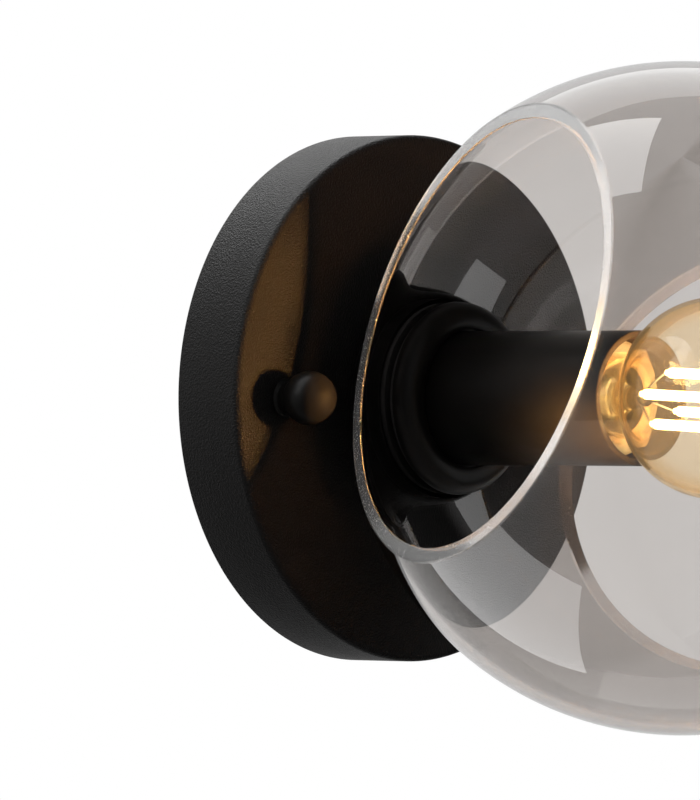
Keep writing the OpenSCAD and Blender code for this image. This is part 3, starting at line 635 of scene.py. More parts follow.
def plated(name, base, low=0.26, high=0.42, grain=1800.0):
    """Plated steel with a fine uneven sheen."""
    f = Finish(name)
    stretched = f.node("ShaderNodeMapping", {"Vector": f.coordinates, "Scale": (0.12, 1.0, 1.0)})
    long_grain = f.noise(grain, 3.0, 0.6, stretched.outputs["Vector"])
    cloud = f.noise(160.0, 4.0)
    f.paint(base, 0.12, cloud)
    f.rough(f.blend((long_grain, 0.6), (cloud, 0.4)), low, high)
    f.set(Metallic=1.0)
    f.bump(long_grain, 0.00003, 0.4)


def turned_brass(name, base):
    """Brass with tool rings and a little tarnish."""
    f = Finish(name)
    cloud = f.noise(220.0, 5.0, 0.6)
    tool = f.rings(1400.0, 0.3)
    f.set(Metallic=1.0, Base_Color=f.ramp(cloud, (0.35, tuple(c * 0.72 for c in base)), (0.6, base)))
    f.rough(f.blend((tool, 0.4), (cloud, 0.6)), 0.18, 0.34)
    f.bump(tool, 0.00002, 0.35)


def glazed(name, base):
    """Glazed ceramic with small pits and a soft mottle."""
    f = Finish(name)
    cloud = f.noise(130.0, 4.0)
    f.paint(base, 0.05, cloud)
    f.rough(cloud, 0.12, 0.26)
    f.set(Coat_Weight=0.3, Coat_Roughness=0.1)
    f.bump(f.blend((cloud, 1.0), (f.grains(700.0), 0.2)), 0.00012, 0.25)


def moulded(name, base, low=0.36, high=0.5):
    """Moulded plastic with a fine spark texture."""
    f = Finish(name)
    fine = f.noise(3000.0, 2.0)
    f.paint(base, 0.06, f.noise(90.0, 3.0))
    f.rough(fine, low, high)
    f.bump(fine, 0.00004, 0.4)


def soft_rubber(name, base):
    """Soft rubber with a dusty, uneven surface."""
    f = Finish(name)
    fine = f.noise(2200.0, 3.0)
    f.paint(base, 0.3, f.noise(120.0, 4.0))
    f.rough(fine, 0.62, 0.82)
    f.set(Specular_IOR_Level=0.3)
    f.bump(fine, 0.00006, 0.5)


def clear_glass(name, tint, ior, low, high, shade, ripple=0.0, ripple_scale=30.0, edge=None):
    """Tinted glass that lets the lamps through, with a slight ripple from blowing. Given an edge colour, it also
    gives off a faint painted glow of that colour, though the glass is no lamp.
    """
    f = Finish(name)
    cloud = f.noise(ripple_scale, 2.0)
    if edge is None:
        body = f.ramp(cloud, (0.3, tuple(c * 0.985 for c in tint)), (0.7, tint))
    else:
        slant = f.node("ShaderNodeLayerWeight", {"Blend": 0.5})
        body = f.ramp(slant.outputs["Facing"], (0.35, tint), (0.85, edge))
        # painted glow: the glass gives off a faint even light in its edge colour, though it is no lamp
        f.set(Emission_Color=(*edge, 1.0), Emission_Strength=0.09)
    f.set(Base_Color=body, Transmission_Weight=1.0, IOR=ior)
    f.rough(cloud, low, high)
    if ripple:
        f.bump(cloud, ripple, 0.6)
    shadow = f.node("ShaderNodeLightPath").outputs["Is Shadow Ray"]
    through = f.node("ShaderNodeBsdfTransparent", {"Color": (*[c ** shade for c in tint], 1.0)})
    f.surface(f.mixed(shadow, f.shader.outputs[0], through.outputs[0]))


def ground_glass(name, tint, ior):
    """The flat ground edge of an opening: fine scratches under a polish."""
    f = Finish(name)
    scratch = f.noise(1500.0, 3.0, 0.6)
    streak = f.noise(150.0, 2.0)
    f.set(Base_Color=f.ramp(streak, (0.35, tuple(c * 0.96 for c in tint)), (0.65, tint)),
          Transmission_Weight=0.95, IOR=ior)
    f.rough(scratch, 0.22, 0.3)
    f.bump(scratch, 0.00001, 0.25)


def lit_stick(name, glow, strength):
    """A lit stick, mottled where its coat is uneven."""
    f = Finish(name)
    pale = tuple(min(1.0, c * 1.25 + 0.12) for c in glow)
    f.set(Base_Color=(1.0, 0.72, 0.32, 1.0), Roughness=0.6, Emission_Strength=strength,
          Emission_Color=f.ramp(f.noise(420.0, 3.0), (0.3, glow), (0.7, pale)))


def striped_sleeve(name, base, stripe=None):
    """Soft plastic sleeve of a lead, with a stripe along it where it has one."""
    f = Finish(name)
    fine = f.noise(1500.0, 3.0)
    if stripe is None:
        f.paint(base, 0.15, f.noise(200.0, 3.0))
    else:
        share = f.node("ShaderNodeAttribute", attribute_name="round").outputs["Fac"]
        f.set(Base_Color=f.ramp(share, (0.30, base), (0.32, stripe), (0.68, stripe), (0.70, base)))
    f.rough(fine, 0.34, 0.48)
    f.bump(fine, 0.00003, 0.4)


def all_finishes(colours):
    """Every finish of the lamp, named for its slot in the record."""
    powder_coat("black_powder", colours.powder)
    satin_black("black_satin", colours.lacquer)
    plated("zinc_steel", colours.zinc)
    turned_brass("brass", colours.brass)
    plated("tinned_copper", colours.tin, 0.22, 0.36, 1200.0)
    clear_glass("smoked_glass", colours.smoke, 1.6, 0.0, 0.012, 1.8)
    ground_glass("ground_rim", colours.ground, 1.5)
    clear_glass("bulb_glass", colours.bulb, 1.5, 0.0, 0.02, 0.3, 0.00015, 60.0, colours.rim)
    clear_glass("stem_glass", colours.stem, 1.5, 0.02, 0.08, 0.5, 0.0003, 200.0)
    lit_stick("filament", colours.glow, 32.0)
    plated("nickel_wire", (0.6, 0.58, 0.55), 0.3, 0.4)
    moulded("black_glass", (0.012, 0.012, 0.014), 0.06, 0.14)
    plated("solder", (0.62, 0.62, 0.63), 0.3, 0.5, 900.0)
    soft_rubber("gasket_rubber", colours.rubber)
    glazed("ceramic", colours.ceramic)
    moulded("terminal_plastic", colours.block)
    striped_sleeve("lead_brown", colours.live)
    striped_sleeve("lead_blue", colours.neutral)
    striped_sleeve("lead_green", colours.earth, colours.earth_stripe)


# ---------------------------------------------------------------- operators

class SCONCE_OT_stage(bpy.types.Operator):
    """Makes the pale floor, the soft lights, the white surround and the camera"""

    bl_idname = "sconce.stage"
    bl_label = "Stage"

    # name, turn and rise of the panel in degrees, width and height in metres, level, and the pieces that it lights
    PANELS = (("key_panel", -105, 38, 0.4, 1.2, 4.5, None),
              ("right_panel", 44, 0, 0.6, 2.0, 1.3, None),
              ("top_panel", -150, 66, 1.0, 0.9, 3.6, None),
              ("crest_panel", 158, 42, 0.9, 0.6, 3.6, "black_pieces"),
              ("rim_panel", -168, 30, 0.7, 0.7, 6.0, "glass_pieces"),
              ("low_panel", -152, -46, 1.2, 1.1, 2.2, "glass_pieces"),
              ("crown_panel", 148, 44, 1.3, 0.8, 0.9, "glass_pieces"))
    # what gloss sees round the lamp: a share of the whole turn, and the level there, which drops where the turn ends
    SCREENS = ((0.0, 0.06), (0.08, 0.06), (0.11, 0.2), (0.15, 0.2), (0.17, 0.02), (0.28, 0.02), (0.32, 0.8),
               (0.74, 0.8), (0.80, 0.05), (1.0, 1.0), (1.0, 0.06))

    def execute(self, context):
        scene = context.scene
        scene.view_settings.view_transform = "Standard"
        self.camera(scene)
        self.surround(scene)
        self.lamps()
        self.floor(scene.sconce_colours.floor)
        all_finishes(scene.sconce_colours)
        return {"FINISHED"}

    def camera(self, scene):
        """The camera of the photograph, as fitted to the lamp's outlines."""
        data = bpy.data.cameras.new("camera")
        data.sensor_width = 36.0
        data.lens = 451.77
        data.clip_start = 0.05
        data.clip_end = 50.0
        turn = math.radians(-46.944)
        far, aside, lower = 2.3, 0.00227, 0.000394
        back = Vector((math.sin(turn), -math.cos(turn), 0.0))
        right = Vector((math.cos(turn), math.sin(turn), 0.0))
        up = Vector((0.0, 0.0, 1.0))
        scene.camera = in_scene("camera", data)
        scene.camera.matrix_world = Matrix.Translation(back * far - right * aside - up * lower) @ Matrix(
            (right, up, back)).transposed().to_4x4()

    def surround(self, scene):
        """White to the eye and through glass. Gloss sees dark and bright screens, matt surfaces get less of it."""
        world = scene.world or bpy.data.worlds.new("surround")
        scene.world = world
        world.use_nodes = True
        w = Nodes(world.node_tree)
        w.tree.nodes.clear()

        def sheet(level):
            return w.node("ShaderNodeBackground", {"Color": (1, 1, 1, 1), "Strength": level}).outputs[0]

        way = w.node("ShaderNodeSeparateXYZ", {0: w.node("ShaderNodeTexCoord").outputs["Generated"]}).outputs
        share = w.spread(w.math("ARCTAN2", way["X"], way["Y"]), From_Min=math.pi, From_Max=-math.pi)
        screens = w.ramp(share, *[(at, (level, level, level)) for at, level in self.SCREENS])
        low = w.spread(way["Z"], From_Min=-0.55, From_Max=-0.05, To_Min=0.4)
        path = w.node("ShaderNodeLightPath").outputs
        lit = w.mixed(path["Is Transmission Ray"], sheet(0.45), sheet(1.0))
        lit = w.mixed(path["Is Camera Ray"], lit, sheet(1.0))
        mirrored = w.math("MINIMUM", path["Glossy Depth"], 1.0)
        w.node("ShaderNodeOutputWorld", {
            "Surface": w.mixed(mirrored, lit, sheet(w.math("MULTIPLY", screens, low)))})

    def lamps(self):
        """Soft panels round the lamp, each facing its middle."""
        middle = Vector((0.0, -0.08, 0.0))
        away = 1.5
        for name, turn, rise, wide, high, level, only in self.PANELS:
            a, b = math.radians(turn), math.radians(rise)
            way = Vector((math.sin(a) * math.cos(b), -math.cos(a) * math.cos(b), math.sin(b)))
            data = bpy.data.lights.new(name, "AREA")
            data.energy = level * math.pi * wide * high
            data.shape = "RECTANGLE"
            data.size = wide
            data.size_y = high
            lamp = in_scene(name, data)
            lamp.matrix_world = Matrix.Translation(middle + way * away) @ (-way).to_track_quat(
                "-Z", "Y").to_matrix().to_4x4()
            lamp.visible_camera = lamp.visible_transmission = False
            if only:
                lamp.light_linking.receiver_collection = lit_only(only)

    def floor(self, base):
        """A pale disc that keeps the shadow. Its own light fades it into the white surround."""
        bm = bmesh.new()
        bmesh.ops.create_circle(bm, cap_ends=True, segments=96, radius=2.0,
                                matrix=Matrix.Translation((0, 0, -0.25)))
        f = Finish("pale_floor")
        f.paint(base, 0.02, f.noise(6.0, 3.0))
        f.rough(f.noise(30.0, 3.0), 0.55, 0.7)
        f.set(Specular_IOR_Level=0.2)
        path = f.node("ShaderNodeLightPath").outputs
        seen = f.math("MAXIMUM", f.math("MAXIMUM", path["Is Camera Ray"], path["Is Glossy Ray"]),
                      path["Is Transmission Ray"])
        far = f.node("ShaderNodeVectorMath", {0: f.coordinates}, operation="LENGTH").outputs["Value"]
        fade = f.spread(far, From_Min=0.5, From_Max=1.9, To_Min=0.26, To_Max=0.60)
        white = f.node("ShaderNodeEmission", {"Strength": f.math("MULTIPLY", seen, fade)})
        f.surface(f.node("ShaderNodeAddShader", {0: f.shader.outputs[0], 1: white.outputs[0]}).outputs[0])
        floor = as_object("floor", bm, "pale_floor")
        floor.visible_glossy = False
        return floor


class SCONCE_OT_canopy(bpy.types.Operator):
    """Makes the pressed round canopy with its rolled front edge and three holes"""

    bl_idname = "sconce.canopy"
    bl_label = "Canopy"

    def execute(self, context):
        m = sizes_in_mm(context.scene.sconce_sizes)
        r, face, wall, edge = m.canopy_radius, m.canopy_depth, m.canopy_wall, m.canopy_round
        inner = face - wall
        stud_hole = 2.45
        outline = ([(0.0, inner), (0.0, face), (r - edge - 12.0, face)]
                   + arc((r - edge, face - edge), edge, 90, 0, 12)
                   + softened([(r, face / 2, 0), (r, 0.0, 0.25), (r - wall, 0.0, 0.25), (r - wall, face / 2, 0)], 3)
                   + arc((r - edge - 0.02, inner - 0.4), edge - wall + 0.42, 0, 90, 6))
        solid = as_object("canopy", turned(outline, 2 * m.sides), "black_powder")
        holes = [prism(round_loop(hole, 48, x), inner - 2, face + 2) for x, hole in (
            (0.0, m.nipple_radius + 0.15), (-m.nut_spacing, stud_hole), (m.nut_spacing, stud_hole))]
        settle(cut(solid, "canopy_shell", "black_powder", holes), "base", "black_powder", "canopy")
        return {"FINISHED"}


class SCONCE_OT_bracket(bpy.types.Operator):
    """Makes the wall bracket with its studs, lock nuts and earth point"""

    bl_idname = "sconce.bracket"
    bl_label = "Wall bracket"

    def execute(self, context):
        m = sizes_in_mm(context.scene.sconce_sizes)
        from_frame("crossbar", "wall_bracket", "zinc_steel")
        places = (-m.nut_spacing, m.nut_spacing)
        top, r, pitch = m.canopy_depth + 5.5, 1.95, 0.7
        studs, nuts, slots = bmesh.new(), bmesh.new(), []
        outline = ([(0.0, 1.6)] + arc((2.6, 2.8), 1.2, -90, 0, 8)
                   + softened([(3.8, 3.4, 0), (3.8, 4.0, 0.12), (r, 4.0, 0)], 3)
                   + threaded(r, 5.6, top - 0.5, pitch, 0.3) + [(1.5, top), (0.0, top)])
        for x in places:
            turned(outline, 64, x, pitch, studs)
            hex_nut(7.0, 5.5, 3.2, 2.0, x, 0.4, nuts)
            slots += [prism(box_loop(wide, high, x), 0.0, 2.6) for wide, high in ((3.8, 1.0), (1.0, 3.8))]
        solid = as_object("studs_solid", studs, "zinc_steel")
        settle(cut(solid, "threaded_studs", "zinc_steel", slots), "base", "zinc_steel", "studs")
        piece("lock_nuts", nuts, "base", "zinc_steel", "stud_lock_nuts", 25)
        from_frame("earth_screw", "earth_point_screw", "brass", 0.1)
        from_frame("earth_tag", "earth_ring_tag", "tinned_copper")
        return {"FINISHED"}


class SCONCE_OT_ball_nuts(bpy.types.Operator):
    """Makes the two ball nuts that hold the canopy"""

    bl_idname = "sconce.ball_nuts"
    bl_label = "Ball nuts"

    def execute(self, context):
        m = sizes_in_mm(context.scene.sconce_sizes)
        face, r, stand, neck = m.canopy_depth, m.ball_radius, m.ball_stand, m.ball_neck
        meet = math.degrees(math.atan2(-math.sqrt(r * r - neck * neck), neck))
        ball = arc((0.0, face + stand), r, meet + 1.0, 89.0, 56)
        outline = (softened([(2.0, face + 7.0, 0), (2.0, face, 0.25), (neck + 0.7, face, 0.15),
                             (neck + 0.7, face + 0.7, 0.25), (neck, face + 1.1, 0.2), (*ball[0], 0)], 3)
                   + ball[1:] + [(0.0, face + stand + r), (0.0, face + 8.2)])
        for x, name in ((-m.nut_spacing, "ball_nut_left"), (m.nut_spacing, "ball_nut_right")):
            piece(name + "_turned", turned(outline, 96, x), name, "black_satin", name)
        return {"FINISHED"}


class SCONCE_OT_seat(bpy.types.Operator):
    """Makes the turned seat with its threaded collar, and the gaskets on both sides of the glass"""

    bl_idname = "sconce.seat"
    bl_label = "Seat"

    def execute(self, context):
        m = sizes_in_mm(context.scene.sconce_sizes)
        face, seat_r, tube_r = m.canopy_depth, m.seat_radius, m.tube_radius
        collar_r, top, steps = tube_r + 1.7, 33.25, 10
        outside, inside = m.globe_radius, m.globe_radius - m.glass
        dish = [on_sphere(m.globe_place, outside + 1.8, seat_r - (seat_r - collar_r) * i / steps)
                for i in range(steps + 1)]
        outline = (softened([(5.1, face, 0), (seat_r, face, 0.8), (seat_r, face + 1.4, 0)], 6) + dish
                   + threaded(collar_r, dish[-1][1] + 0.6, top - 0.7, m.ring_pitch, 0.5)
                   + softened([(collar_r - 0.1, top - 0.6, 0), (collar_r - 0.6, top, 0.1),
                               (tube_r + 0.05, top, 0.1), (tube_r + 0.05, face + 3, 0), (5.1, face + 3, 0)], 3))
        piece("seat_turned", turned(outline, m.sides, pitch=m.ring_pitch), "base", "black_satin", "seat_cup")
        piece("seat_gasket", self.gasket(m, outside + 1.8, outside + 0.3, seat_r - 1.0), "base", "gasket_rubber",
              "outer_gasket", 60)
        piece("ring_gasket_soft", self.gasket(m, inside - 0.3, inside - 1.1, m.ring_radius - 1.0), "ring_gasket",
              "gasket_rubber", "inner_gasket", 60)
        return {"FINISHED"}

    def gasket(self, m, back, front, outer):
        """A flat rubber ring that follows the globe, between two spheres about its middle."""
        inner, steps = m.neck_hole, 8
        line = [inner + 0.05 + (outer - inner - 0.1) * i / steps for i in range(steps + 1)]
        lower = [on_sphere(m.globe_place, back, r) for r in line]
        upper = [on_sphere(m.globe_place, front, r) for r in reversed(line)]
        return turned(lower + [(outer, (lower[-1][1] + upper[0][1]) / 2)] + upper
                      + [(inner, (lower[0][1] + upper[-1][1]) / 2)], m.sides)


class SCONCE_OT_ring(bpy.types.Operator):
    """Makes the retaining ring: a round bead over a threaded bore"""

    bl_idname = "sconce.ring"
    bl_label = "Retaining ring"

    def execute(self, context):
        m = sizes_in_mm(context.scene.sconce_sizes)
        ring_r, bead, mid = m.ring_radius, m.ring_bead, m.globe_place
        back = m.globe_radius - m.glass - 1.4
        edge = on_sphere(mid, back, ring_r)[1]
        lip_r, bore, steps = m.tube_radius + 0.5, m.tube_radius + 1.8, 8
        centre = (ring_r - bead, edge + 0.2)
        round_line = arc(centre, bead, 0, math.degrees(math.acos((lip_r - centre[0]) / bead)), 28)
        inner_top = edge + 3.3
        low = on_sphere(mid, back, bore)[1]
        back_line = [on_sphere(mid, back, bore + 0.3 + (ring_r - 0.08 - bore - 0.3) * i / steps)
                     for i in range(steps + 1)]
        wall = [(2 * bore - r, h, w) for r, h, w in threaded(bore, low + 0.35, inner_top, m.ring_pitch, 0.5)]
        outline = (back_line + [(ring_r, edge + 0.06)] + round_line[:-1]
                   + softened([(*round_line[-2], 0), (*round_line[-1], 0.15), (lip_r, inner_top, 0.1),
                               (bore, inner_top, 0)], 4)[1:-1]
                   + wall[::-1])
        piece("ring_turned", turned(outline, m.sides, pitch=m.ring_pitch), "retaining_ring", "black_satin",
              "retaining_ring")
        return {"FINISHED"}


class SCONCE_OT_tube(bpy.types.Operator):
    """Makes the drawn socket tube, and the threaded tube with its washer and nuts"""

    bl_idname = "sconce.tube"
    bl_label = "Socket tube"

    def execute(self, context):
        m = sizes_in_mm(context.scene.sconce_sizes)
        r, bore, mouth, nr = m.tube_radius, m.tube_radius - m.tube_wall, m.tube_mouth, m.nipple_radius
        foot, inner, hole = m.canopy_depth + 3, m.canopy_depth - m.canopy_wall, nr + 0.15
        low, high, pitch = 11.8, 28.6, 1.0
        outline = softened([(hole, foot, 0), (r, foot, 0.3), (r, mouth, 0.35), (bore, mouth, 0.35),
                            (bore, foot + 1.5, 0.5), (hole, foot + 1.5, 0)], 5)
        piece("socket_tube_drawn", turned(outline, m.sides), "base", "black_satin", "socket_tube")
        outline = ([(4.0, low + 0.3), (4.3, low), (nr - 0.5, low)]
                   + threaded(nr, low + 0.3, high - 0.3, pitch, 0.55)
                   + [(nr - 0.5, high), (4.3, high), (4.0, high - 0.3)])
        piece("threaded_tube", turned(outline, 96, pitch=pitch), "base", "brass", "nipple")
        piece("canopy_nut", hex_nut(14.0, inner - 4.0, 3.0, nr + 0.05), "base", "brass", "nipple_nut", 25)
        piece("holder_nut", hex_nut(14.0, foot + 2.7, 3.0, nr + 0.05), "base", "brass", "yoke_nut", 25)
        self.washer(nr + 0.05, inner)
        return {"FINISHED"}

    def washer(self, bore, top):
        """A lock washer: a plain ring and the teeth that a node tree sets round it."""
        r, half = 7.5, 0.5
        ring = turned(softened([(bore, top - 1, 0.1), (r, top - 1, 0.1), (r, top, 0.1), (bore, top, 0.1)], 3), 72)
        tooth = prism([(-1.1, -1.25), (1.0, -0.95), (1.0, 0.95), (-1.1, 1.25)], -half, half)
        bmesh.ops.rotate(tooth, verts=tooth.verts[:], matrix=Matrix.Rotation(math.radians(14), 3, "X"))
        for v in tooth.verts:
            v.co.y = max(-half * MM, min(half * MM, v.co.y))
        teeth = ring_of("washer_teeth", hidden_piece("tooth", tooth), "zinc_steel", 12, r, top - half)
        ring.from_mesh(teeth.data)
        bpy.data.objects.remove(teeth)
        piece("lock_washer", ring, "base", "zinc_steel", "nipple_washer")


class SCONCE_OT_lampholder(bpy.types.Operator):
    """Makes the ceramic lampholder with its yoke, rivets, shell, tongue and terminals"""

    bl_idname = "sconce.lampholder"
    bl_label = "Lampholder"

    def execute(self, context):
        m = sizes_in_mm(context.scene.sconce_sizes)
        from_frame("holder_yoke", "yoke_strip", "zinc_steel", 0.12)
        from_frame("holder_body", "ceramic_body", "ceramic", 0.2)
        from_frame("centre_contact", "spring_tongue", "brass", 0.06)
        from_frame("holder_terminals", "lead_terminals", "brass", 0.1)
        self.rivets()
        low, high, bore, sheet = 54.0, 72.0, m.cap_radius + 0.25, 0.35
        wall = threaded(bore + 0.45, low + 0.2, high - 0.2, m.cap_pitch, 0.3, 12)
        outline = ([(bore + 0.1, low), (bore + 0.3, low)] + wall + [(bore + 0.3, high), (bore + 0.1, high)]
                   + [(r - sheet, h, w) for r, h, w in wall[::-1]])
        piece("drawn_shell", turned(outline, 96, pitch=m.cap_pitch), "base", "brass", "screw_shell", 40)
        return {"FINISHED"}

    def rivets(self):
        """Two domed rivets through the yoke's arms, each turned upright and then laid on its side."""
        low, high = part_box("yoke_rivets")
        half = abs(low.x) / MM
        off_wall = (low.y + high.y) / 2
        outline = (softened([(0.0, half - 4.9, 0), (1.5, half - 4.9, 0.15), (1.5, half - 0.7, 0),
                             (2.4, half - 0.7, 0)], 3)
                   + arc((1.7, half - 0.7), 0.7, 10, 90, 8) + [(0.0, half)])
        bm = bmesh.new()
        for side in (-1, 1):
            start = len(bm.verts)
            turned(outline, 40, bm=bm)
            bm.verts.ensure_lookup_table()
            for v in bm.verts[start:]:
                x, h, y = v.co.x, -v.co.y, v.co.z
                v.co = (side * h, off_wall + side * x, y)
        bmesh.ops.recalc_face_normals(bm, faces=bm.faces[:])
        piece("yoke_rivet_pair", bm, "base", "brass", "yoke_rivets", 35)


class SCONCE_OT_globe(bpy.types.Operator):
    """Makes the blown globe with its seat hole and its two ground openings"""

    bl_idname = "sconce.globe"
    bl_label = "Globe"

    def execute(self, context):
        m = sizes_in_mm(context.scene.sconce_sizes)
        outer, inner, mid = m.globe_radius, m.globe_radius - m.glass, m.globe_place
        hole, chamfer, distance = m.neck_hole, m.rim_chamfer, m.opening_place
        sides, steps = 224, 112

        def shell(radius):
            first = -90 + math.degrees(math.asin((hole + chamfer) / radius))
            return arc((0.0, mid), radius, first, 90, steps)[:-1] + [(0.0, mid + radius)]

        outer_line, inner_line = shell(outer), shell(inner)[::-1]
        bore = [(hole, inner_line[-1][1] - chamfer), (hole, outer_line[0][1] + chamfer)]
        bm = turned(outer_line + inner_line + bore, sides)
        centre = place(0, 0, mid)
        ground = []
        for half_turn in (0.0, math.pi):
            out = self.opening_normal(m.opening_lean, half_turn - m.globe_turn)
            found = bmesh.ops.bisect_plane(bm, geom=bm.verts[:] + bm.edges[:] + bm.faces[:], dist=1e-8,
                                           plane_co=centre + out * (distance - chamfer) * MM, plane_no=out,
                                           clear_outer=True)
            edge = [g for g in found["geom_cut"] if isinstance(g, bmesh.types.BMVert)]
            middle = (outer + inner) / 2 * MM
            far = [v for v in edge if (v.co - centre).length > middle]
            near = [v for v in edge if (v.co - centre).length <= middle]
            ground += self.rim(bm, centre, out, distance, far, near, outer, inner, chamfer)
        bmesh.ops.recalc_face_normals(bm, faces=bm.faces[:])
        for f in ground:
            if f.is_valid:
                f.material_index = 1
        obj = as_object("blown_globe", bm, "smoked_glass", "ground_rim", angle=60)
        self.true_normals(obj.data, centre, outer, inner)
        settle(obj, "globe", "smoked_glass", "globe")
        return {"FINISHED"}

    def opening_normal(self, lean, turn):
        """The way that an opening faces: out to one side, leaning back to the wall, turned with the globe."""
        side = -math.cos(lean)
        return place(side * math.cos(turn), side * math.sin(turn), -math.sin(lean)).normalized()

    def rim(self, bm, centre, out, distance, far, near, outer, inner, chamfer):
        """Closes the glass at an opening: two chamfers and the flat ground ring between them."""
        across = out.orthogonal().normalized()
        other = out.cross(across)
        count = 288

        def angle(v):
            p = v.co - centre
            return math.atan2(p.dot(other), p.dot(across)) % TAU

        def circle(radius):
            return [bm.verts.new(centre + (out * distance + (across * math.cos(TAU * i / count)
                                 + other * math.sin(TAU * i / count)) * radius) * MM) for i in range(count)]

        wide, tight = math.sqrt(outer ** 2 - distance ** 2), math.sqrt(inner ** 2 - distance ** 2)
        outside = circle(wide - 0.8 * chamfer)
        inside = circle(tight + 1.2 * chamfer)
        flat = bands(bm, [outside, circle((wide + tight) / 2), inside])
        for loop, ring in ((far, outside), (near, inside)):
            flat += self.zipped(bm, sorted(loop, key=angle), ring, angle)
        return flat

    def zipped(self, bm, a, b, angle):
        """Joins two closed rings of points that run the same way round, by their angles."""
        turns_a = [angle(v) for v in a] + [angle(a[0]) + TAU]
        turns_b = [TAU * i / len(b) for i in range(len(b))] + [TAU]
        i = j = 0
        faces = []
        while i < len(a) or j < len(b):
            va, vb = a[i % len(a)], b[j % len(b)]
            step_a = i < len(a) and (j >= len(b) or turns_a[i + 1] <= turns_b[j + 1])
            nxt = a[(i + 1) % len(a)] if step_a else b[(j + 1) % len(b)]
            if len({va, vb, nxt}) == 3:
                faces.append(bm.faces.new((va, vb, nxt)))
            if step_a:
                i += 1
            else:
                j += 1
        return faces

    def true_normals(self, mesh, centre, outer, inner):
        """Gives the two spheres their exact normals, so that the cut edges don't dent the reflections."""
        normals = []
        limit = 0.00001
        for face in mesh.polygons:
            for k in face.loop_indices:
                p = mesh.vertices[mesh.loops[k].vertex_index].co - centre
                if abs(p.length - outer * MM) < limit:
                    normals.append(p.normalized())
                elif abs(p.length - inner * MM) < limit:
                    normals.append(-p.normalized())
                else:
                    normals.append(face.normal.copy())
        mesh.normals_split_custom_set(normals)


